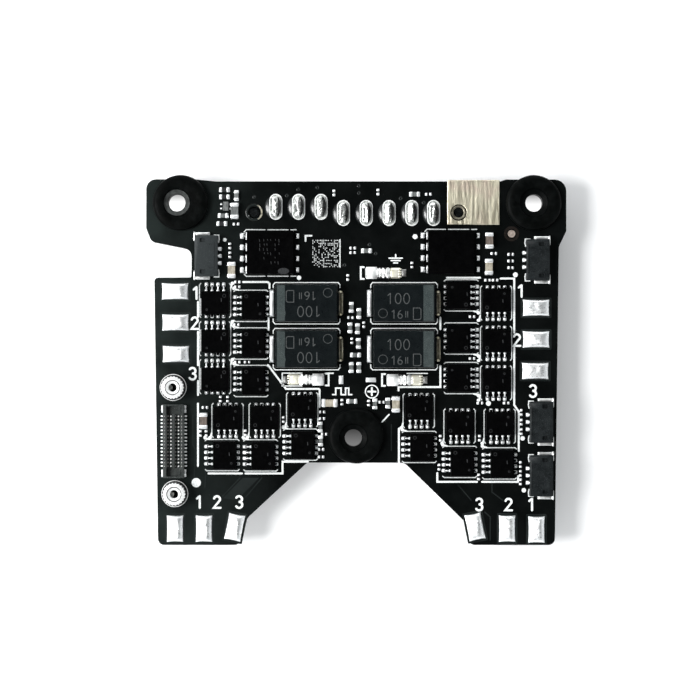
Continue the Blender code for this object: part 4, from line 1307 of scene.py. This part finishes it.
# Inset from the flange's edge or radius from the bore, with the depth under the flange's top
FLANGE = ((0.0, 0.42), (0.06, 0.22), (0.2, 0.07), (0.45, 0.0), (0.9, 0.0), (1.2, 0.03))
DISH = ((1.62, 0.06), (1.56, 0.14), (1.5, 0.34), (1.3, 0.42), (1.05, 0.44), (0.98, 0.5), (0.97, 0.62))
# Radius from the bore with the height from the flange's top, for a lighter rubber ring round the left bore:
# painted light beside the bright hole
PAINTED_LIGHT_RING = ((1.0, -0.42), (1.06, -0.38), (1.3, -0.36), (1.46, -0.3), (1.44, -0.42), (1.05, -0.46))


def make_grommets():
    """Rubber grommets: a soft, slightly uneven flange and a dished ring round the bore."""
    for name, centre, size in placed("grommet_"):
        low, high = corners(name)
        radius, bore = size.x / 2, GROMMET_BORES[name]
        outside = [
            (FOOT_RADIUS, low.z + 0.05), (FOOT_RADIUS, -THICK - 1.3), (LIP_RADIUS, -THICK - 0.93),
            (LIP_RADIUS, -THICK - 0.05), (GROOVE_RADIUS, -THICK - 0.03), (GROOVE_RADIUS, 0.03),
            (radius - 0.02, 0.03), (radius, 0.2),
        ] + [(radius - inset, high.z - depth) for inset, depth in FLANGE]
        inside = [(reach, high.z - depth) for reach, depth in DISH] + [(DISH[-1][0], low.z)]
        rings = [circle(reach, height, steps=GROMMET_STEPS) for reach, height in outside]
        rings += [circle(reach, height, bore, GROMMET_STEPS) for reach, height in inside]
        rings.append(circle(2.3, low.z, steps=GROMMET_STEPS))
        shape = Shape().at(*centre.xy)
        rows = shape.loft(rings, closed=True)
        for vert in itertools.chain(*rows[SOFT_RINGS]):
            vert.co += vert.co.normalized() * noise.noise(vert.co * 0.9) * SOFT_WAVE
        shape.finish(f"{name}_soft", rubber, "rubber", smooth=45, stands_for=[name])
    centre, _ = spot("grommet_left")
    bore_x, bore_y = GROMMET_BORES["grommet_left"]
    # A lighter grey rubber ring round the left bore: painted light beside the bright hole
    worn = Shape().at(centre.x + bore_x, centre.y + bore_y, corners("grommet_left")[1].z)
    worn.lathe(PAINTED_LIGHT_RING, steps=48)
    worn.finish("grommet_left_painted_light_ring", painted_light_rubber, "rubber", smooth=50)


SPACER_THREADS = 9
SPACER_NOTCHES = 22
# Radius and height: the foot's heights start at the board and the head's at the spacer's top
SPACER_FOOT = ((0.52, 0.34), (1.1, 0.34), (1.1, 1.2), (1.2, 1.35))
SPACER_HEAD = (
    (1.2, -0.1), (1.17, -0.03), (1.1, 0.0), (0.86, 0.0), (0.83, -0.07), (0.77, -0.07), (0.74, 0.0),
    (0.62, -0.01), (0.52, -0.08),
)
SPACER_FLANGE = ((0.53, 0.02), (1.44, 0.02), (1.44, 0.3), (1.4, 0.33), (0.53, 0.33))


def add_spacer(shape, top):
    """A knurled head with a turned groove, a thread inside and a rim round the flange."""
    shape.lathe([*SPACER_FOOT, *((radius, top + height) for radius, height in SPACER_HEAD)], steps=64)
    for x, y, _ in circle(1.19, steps=SPACER_NOTCHES):
        shape.mound(ellipse(0.17, 0.17, 8), [(1, 1.3), (1, top - 0.06), (0.4, top - 0.01)], 0.0, (x, y))
    for thread in range(SPACER_THREADS):
        level = 0.1 + thread * (top - 0.35) / SPACER_THREADS
        shape.lathe([(0.55, level), (0.55, level + 0.16), (0.47, level + 0.08)], steps=32)
    shape.ring(1.47, 0.06, 0.35, steps=48)


def make_spacers():
    """Threaded spacers with a dim glint in the thread; the flange below and a ring in the head's groove are
    near-black metal, painted shade.
    """
    flanges, wells = new_shapes(2)
    for name, centre, size in placed("spacer_"):
        top = centre.z + size.z / 2
        shape = Shape().at(*centre.xy)
        add_spacer(shape, top)
        shape.finish(f"{name}_turned", satin, "tin", smooth=35, stands_for=[name])
        # A near-black ring in the head's groove and the flange below it: painted shade
        flanges.at(*centre.xy, top).ring(0.8, 0.07, 0.02, (0, 0), -0.02, 48)
        aim((flanges, wells), *centre.xy)
        flanges.lathe(SPACER_FLANGE, steps=48)
        wells.mound(ellipse(0.46, 0.6, 20), dome(0.2, 4), top - 1.1, (-0.24, -0.02), 0.1, 4)
    flanges.finish("spacer_flanges", painted_shade_metal, "tin", smooth=35)
    wells.finish("spacer_wells", dull_tin, "tin", smooth=50)


FOIL_HOLE = 0.92
FOIL_PEG = Vector((11.49, 16.79))
FOIL_COLUMNS, FOIL_ROWS, FOIL_FOLDS = 56, 48, 10
FOIL_THICKNESS = 0.1
EYELET = ((0.58, 0.02), (0.58, 0.2), (0.64, 0.24), (0.76, 0.24), (0.8, 0.2), (0.8, 0.02))


def foil_point(low, high, x, row):
    """Place of one point of the foil: wrinkled on top, then folded down over the edge."""
    if row > FOIL_ROWS:
        share = (row - FOIL_ROWS) / FOIL_FOLDS
        return (x, high.y - 0.012 + noise.noise(Vector((x * 3, share * 2, 9))) * 0.01,
                high.z - 0.05 + (low.z + 0.02 - high.z) * share)
    y = low.y + (high.y - 0.09 - low.y) * row / FOIL_ROWS
    away = Vector((x, y)) - FOIL_PEG
    if away.length < FOIL_HOLE:
        x, y = FOIL_PEG + away.normalized() * FOIL_HOLE
    wrinkle = noise.noise(Vector((x * 3.2, y * 0.4, 0))) * 0.016
    wrinkle += noise.noise(Vector((x * 9, y * 1.3, 4))) * 0.009
    return x, y, high.z - 0.03 + wrinkle * min(1.0, (high.y - y) * 2)


def make_foil():
    """Nickel foil with pressed wrinkles, wrapped over the battery edge, and an eyelet in its hole."""
    low, high = corners("earthing_foil")
    shape = Shape()
    build = shape.build
    grid = []
    for row in range(FOIL_ROWS + FOIL_FOLDS + 1):
        places = [low.x + (high.x - low.x) * column / FOIL_COLUMNS for column in range(FOIL_COLUMNS + 1)]
        grid.append([build.verts.new(foil_point(low, high, x, row)) for x in places])
    for lower, upper in zip(grid, grid[1:]):
        for quad in zip(lower, lower[1:], upper[1:], upper):
            middle = sum((vert.co for vert in quad), Vector()) / 4
            inside = all((vert.co.xy - FOIL_PEG).length < FOIL_HOLE + 0.001 for vert in quad)
            if not inside and (middle.xy - FOIL_PEG).length >= FOIL_HOLE * 0.97:
                build.faces.new(quad)
    loose = [vert for vert in build.verts if not vert.link_faces]
    bmesh.ops.delete(build, geom=loose, context="VERTS")
    bmesh.ops.remove_doubles(build, verts=build.verts, dist=0.002)
    piece = shape.finish("earthing_foil_pressed", foil_metal, "nickel", smooth=60,
                         stands_for=["earthing_foil"])
    skin = piece.modifiers.new("foil_thickness", "SOLIDIFY")
    skin.thickness = FOIL_THICKNESS * MM
    skin.offset = -1.0
    eyelet = Shape().at(*FOIL_PEG)
    eyelet.lathe(EYELET, steps=40)
    eyelet.finish("foil_eyelet", dull_brass, "nickel", smooth=40)


# ---- traces and vias

TRACES = (
    ((-18.35, -5.95), (-18.35, -9.3), (-18.0, -9.9), (-18.2, -13.0)),
    ((-17.1, -11.9), (-16.9, -12.55), (-17.0, -14.05)),
    ((-13.05, -13.0), (-15.1, -15.15)),
    ((-10.6, -13.0), (-12.4, -15.15)),
    ((11.45, -13.8), (12.9, -15.5)),
    ((15.25, -13.7), (15.25, -14.6), (16.7, -15.7)),
    ((14.45, -16.85), (15.05, -17.4), (15.05, -20.0)),
    ((3.95, -7.05), (3.95, -9.9)),
)
COPPER_POUR = ((-12.75, -13.0), (-10.9, -13.0), (-13.4, -15.5), (-15.0, -15.3))
VIAS = (
    (-11.45, 18.55), (-7.8, 18.7), (-6.5, 19.4), (-4.35, 19.6), (0.3, 19.0), (0.3, 19.8), (5.0, 18.4),
    (7.6, 17.9), (1.5, 13.2), (2.2, 12.2), (-1.3, 10.9), (18.7, 17.2), (18.6, 15.6), (-22.1, 16.9),
)
TRACE_WIDTH = 0.14
TRACE_RISE = 0.03


def make_traces():
    """Ridges where copper runs close under the mask, and small vias beside the joints."""
    traces, vias = new_shapes(2)
    for points in TRACES:
        traces.stroke(points, TRACE_WIDTH, TRACE_RISE, 0.0)
    traces.slab(COPPER_POUR, 0.0, 0.012)
    traces.finish("board_traces", pour_mask, "solder_mask", smooth=40)
    for x, y in VIAS:
        vias.at(x, y).lathe([(0.08, 0.0), (0.1, 0.012), (0.17, 0.016), (0.2, 0.0)], steps=14)
    vias.finish("board_vias", pour_mask, "solder_mask", smooth=50)


# ---- underside

DRIVER_PINS = 10
DRIVER_PITCH = 0.45
BULK_CHIPS = [(middle + step, 12.3) for middle in (-7.6, 9.1) for step in centred(3, 1.5)]
TEST_PADS = [(middle + step, -16.2) for middle in (-15.1, 15.3) for step in centred(3, 1.3)]
VIA_GRID = (4, 3)
VIA_GAP = 0.62
UNDER_VIA = ((0.1, 0.0), (0.12, 0.012), (0.2, 0.018), (0.24, 0.0))


def add_driver_frame(leads, lines, centre, half):
    """Leads on four sides of a driver, printed corners and a dot by pin one."""
    for turn in (0, 90, 180, 270):
        under(*centre.xy, turn, leads, lines)
        for along in centred(DRIVER_PINS, DRIVER_PITCH):
            leads.mound(rounded(0.25, 0.42, 0.06, 2), dome(0.2, 3), 0, (along, half + 0.1), 0.02, 4)
        corner = half + 0.45
        lines.stroke([(corner - 0.6, corner), (corner, corner), (corner, corner - 0.6)], LINE)
    under(*centre.xy, 0, lines)
    lines.slab(ellipse(0.45, 0.45, 16), LIFT, LIFT + INK, (-half - 0.75, half + 0.75))


def add_driver_marks(marks, centre, half, top):
    """A moulded ring and three worn bars on a driver's face."""
    marks.at(*centre.xy, top, 0, True)
    marks.ring(0.28, 0.07, 0.012, (-half + 0.6, half - 0.6), 0.0, 20)
    for row in range(3):
        y = 0.5 - row * 0.55
        marks.stroke([(-1.2, y), (1.2 - 0.4 * row, y)], 0.16, 0.01, 0)


def make_driver_surroundings():
    """Leads, outline, marks and supporting chips of the motor drivers."""
    leads, lines, marks, ends, caps, resistors = new_shapes(6)
    for _, centre, size in placed("motor_driver_"):
        x, y, half = centre.x, centre.y, size.x / 2
        add_driver_frame(leads, lines, centre, half)
        add_driver_marks(marks, centre, half, centre.z - size.z / 2)
        for step in centred(5, 1.0):
            add_chip(caps, ends, "medium", x + step, y + half + 1.15, flip=True)
        for step in centred(7, 0.7):
            add_chip(resistors, ends, "small", x + step, y - half - 0.95, flip=True)
        for side, step in itertools.product(SIDES, centred(3, 1.3)):
            add_chip(caps, ends, "medium", x + side * (half + 1.1), y + step, 90, True)
    leads.finish("motor_driver_leads", solder, "solder", smooth=45)
    lines.finish("motor_driver_outlines", thin_ink, "silkscreen")
    marks.finish("motor_driver_marks", faint_mark, "mould_compound")
    ends.finish("underside_chip_ends", solder, "solder", smooth=45)
    caps.finish("underside_capacitors", CERAMICS["tan"], "chip_ceramic")
    resistors.finish("underside_resistors", CERAMICS["black"], "chip_ceramic")


def make_regulator():
    """Terminals and solder of the inductor and the shunt, and the supply's bulk capacitors."""
    metal, joints, lines, ends, bodies = new_shapes(5)
    centre, size = spot("regulator_inductor")
    under(*centre.xy, 0, metal, joints, lines)
    for side in SIDES:
        metal.block((2.6, 0.5, 0.5), (0, side * (size.y / 2 - 0.1), 0), 0.05, 0.05)
        joints.cushion((2.9, 0.55), 0.28, (0, side * (size.y / 2 + 0.3)), lumps=0.05)
    metal.at(*centre.xy, centre.z - size.z / 2, 0, True)
    metal.ring(1.3, 0.05, 0.012, (0, 0), 0.0, 40)
    for x in (-2.5, 2.5):
        lines.stroke([(x, -2.0), (x, 2.0)], LINE)
    centre, size = spot("current_shunt")
    under(*centre.xy, 0, metal, joints, lines)
    for side in SIDES:
        metal.block((size.x + 0.06, 1.25, size.z + 0.05), (0, side * (size.y / 2 - 0.6), 0), 0.05, 0.05)
        joints.cushion((size.x + 0.2, 0.7), 0.35, (0, side * (size.y / 2 + 0.3)), lumps=0.06)
        x = side * (size.x / 2 + 0.4)
        lines.stroke([(x, -3.4), (x, 3.4)], LINE)
    for x, y in BULK_CHIPS:
        add_chip(bodies, ends, "large", x, y, flip=True)
    metal.finish("underside_terminals", tin, "tin", smooth=45)
    joints.finish("underside_joints", solder, "solder", smooth=50)
    lines.finish("underside_outlines", thin_ink, "silkscreen")
    ends.finish("bulk_capacitor_ends", solder, "solder", smooth=45)
    bodies.finish("bulk_capacitors", CERAMICS["brown"], "chip_ceramic")


def make_underside_copper():
    """Rows of vias under the transistors, tracks from the drivers and tinned test pads."""
    vias, tracks, pads = new_shapes(3)
    columns, rows = VIA_GRID
    for x, y, _, _ in phase_fets():
        under(x, y, 0, vias)
        for place in itertools.product(centred(columns, VIA_GAP), centred(rows, VIA_GAP)):
            vias.lathe(UNDER_VIA, place, 10)
    for _, centre, _ in placed("motor_driver_"):
        out = math.copysign(1, centre.x)
        under(*centre.xy, 0, tracks)
        for step in range(6):
            y, reach = 0.45 * step - 1.1, 4.4 + 0.3 * step
            for way, run in ((out, 1.2), (-out, 0.8)):
                rise = math.copysign(run, way * out)
                tracks.stroke([(way * 3.9, y), (way * reach, y), (way * (reach + run), y + rise)],
                              TRACE_WIDTH, TRACE_RISE, 0)
    for x, y in TEST_PADS:
        under(x, y, 0, pads)
        pads.mound(ellipse(0.9, 0.9, 20), dome(0.08, 3, 3.0), 0, (0, 0), 0.02, 3)
    vias.finish("underside_vias", under_mask, "solder_mask", smooth=50)
    tracks.finish("underside_tracks", under_mask, "solder_mask", smooth=40)
    pads.finish("underside_test_pads", gold, "contact_copper", smooth=50)


def make_housing_details():
    """Ribs on the battery connector's walls, and frames and spring leaves in its mouths."""
    foot = corners("battery_connector_housing")[0].z
    centre, size = spot("battery_connector_housing")
    ribs, leaves = new_shapes(2)
    ribs.at(*centre.xy, foot)
    for side, y in itertools.product(SIDES, centred(5, 1.2)):
        ribs.block((0.12, 0.5, 2.6), (side * size.x / 2, y, 0.35), 0.04, 0.04)
    for x in centred(9, 2.6):
        ribs.block((0.5, 0.12, 2.6), (x, -size.y / 2, 0.35), 0.04, 0.04)
    mouth = centre.y + size.y / 2
    for _, blade, _ in placed("battery_blade_"):
        ribs.at(blade.x, mouth, foot)
        leaves.at(blade.x, mouth - 1.0, foot)
        for side in SIDES:
            ribs.block((0.16, 0.1, 1.9), (side * 0.86, 0, 0.5), 0.03, 0.03)
            leaves.block((0.1, 1.3, 1.0), (side * 0.5, -0.2, 0.9), 0.04, 0.03)
        ribs.block((1.9, 0.1, 0.16), (0, 0, 0.4), 0.03, 0.03)
    ribs.finish("battery_connector_ribs", housing_plastic, "socket_plastic", smooth=40)
    leaves.finish("battery_connector_leaves", gold, "contact_copper", smooth=40)


# ---- studio

FLOOR_SIZE = 1.2
# Where across the floor its glow starts and stops fading, and its strength at both
FLOOR_GLOW = (6.0, 18.0, 0.22, 0.075)
GLOW_RADIUS = 0.96
GLOW_HEIGHT = 3.2
HOLE_GLOW = {"grommet_left": 1.7, "grommet_right": 1.4, "grommet_centre": 0.21}
# From one direction of view to another, and the sky's strength at both: upwards, and to the right
SKY_SPANS = (("Z", (0.5, 0.93, 1.75, 0.1)), ("X", (-0.8, 0.8, 1.2, 0.5)))
SKY_TONE = (0.95, 0.98, 1.0)
# Name, azimuth, elevation, distance in metres, side in metres, power in watts
LIGHTS = (("key", 184, 53, 0.6, 0.24, 3.8), ("rear", 85, 35, 0.6, 0.3, 0.5))
VIEW_DISTANCE = 355.0
VIEW_CENTRE = (-0.7, 1.36)
VIEW_WIDTH = 78.65
SENSOR = 36.0


def make_hole_glow():
    """Small lit patches in the grommet bores, standing in for light that comes up from below."""
    for name, strength in HOLE_GLOW.items():
        middle = spot(name)[0] + Vector((*GROMMET_BORES[name], 0)) + ORIGIN
        bpy.ops.mesh.primitive_circle_add(
            vertices=32, radius=GLOW_RADIUS * MM, fill_type="NGON",
            location=(middle.x * MM, middle.y * MM, GLOW_HEIGHT * MM),
        )
        patch = bpy.context.object
        patch.name = f"light_in_{name}"
        glow = Surface(f"glow_{name}", specular=0.0)
        fall = glow.level(glow.along("Y"), -0.7, 0.9)
        glow.feed(glow.shader, {
            "Base Color": (0.0, 0.0, 0.0), "Emission Strength": strength,
            "Emission Color": glow.blend(fall, WHITE, (0.3, 0.3, 0.3)),
        })
        patch.data.materials.append(glow.material)


def make_floor():
    """Pale paper with a slight glow; from below, light and views pass through it."""
    bpy.ops.mesh.primitive_plane_add(size=FLOOR_SIZE, location=(0, 0, 0))
    floor = bpy.context.object
    floor.name = "floor"
    paper = Surface("floor_paper", specular=0.2)
    colour = paper.blend(paper.noise(0.05), (0.86, 0.86, 0.86), (0.9, 0.9, 0.9))
    paper.coat(colour, paper.noise(0.3, 2), 0.7, 0.9)
    paper.feed(paper.shader, {
        "Emission Color": WHITE, "Emission Strength": paper.level(paper.along("X"), *FLOOR_GLOW),
    })
    opening = paper.sums("MAXIMUM", paper.node("NewGeometry", "Backfacing"),
                         paper.node("LightPath", "Is Shadow Ray"))
    seen = paper.node("MixShader", "Shader", {
        0: opening, 1: paper.shader.outputs["BSDF"], 2: paper.node("BsdfTransparent", "BSDF"),
    })
    paper.feed(paper.tree.nodes["Material Output"], {"Surface": seen})
    floor.data.materials.append(paper.material)


def make_sky():
    """Soft light all round, stronger on the left and dark overhead."""
    world = bpy.data.worlds.new("studio")
    sky = Nodes(world)
    way = sky.node("TexCoord", "Generated")
    falls = [sky.level(sky.split(way, axis), *span) for axis, span in SKY_SPANS]
    sky.feed(sky.tree.nodes["Background"], {"Color": SKY_TONE, "Strength": sky.sums("MULTIPLY", *falls)})
    bpy.context.scene.world = world
    bpy.context.scene.view_settings.view_transform = "Standard"


def make_lights():
    """A soft key light from the left and a weak one from behind."""
    for name, azimuth, elevation, distance, side, power in LIGHTS:
        light = bpy.data.lights.new(name, "AREA")
        light.shape = "SQUARE"
        light.size = side
        light.energy = power
        lamp = bpy.data.objects.new(name, light)
        lift, way = math.radians(elevation), math.radians(azimuth)
        lamp.location = Vector((
            math.cos(lift) * math.cos(way), math.cos(lift) * math.sin(way), math.sin(lift)
        )) * distance
        lamp.rotation_euler = lamp.location.to_track_quat("Z", "Y").to_euler()
        bpy.context.scene.collection.objects.link(lamp)


def make_camera():
    """A long lens straight overhead."""
    target = Vector((ORIGIN.x + VIEW_CENTRE[0], ORIGIN.y + VIEW_CENTRE[1], ORIGIN.z)) * MM
    camera = bpy.data.objects.new("camera", bpy.data.cameras.new("camera"))
    camera.data.sensor_width = SENSOR
    camera.data.lens = SENSOR * VIEW_DISTANCE / VIEW_WIDTH
    camera.data.clip_start = 0.01
    camera.location = target + Vector((0, 0, VIEW_DISTANCE)) * MM
    bpy.context.scene.collection.objects.link(camera)
    bpy.context.scene.camera = camera


for make in (
    dress_cad_nodes, make_fet_leads, make_fet_outlines, make_fet_dimples, make_supply_fets,
    make_capacitors, make_battery_joints, make_phase_pads, make_contact_pads, make_spring_contacts,
    make_board_print, make_dot_pattern, make_chips, make_sockets, make_stack_connector, make_grommets,
    make_spacers, make_foil, make_traces, make_driver_surroundings, make_regulator,
    make_underside_copper, make_housing_details, make_floor, make_sky, make_lights, make_camera,
    make_hole_glow,
):
    make()
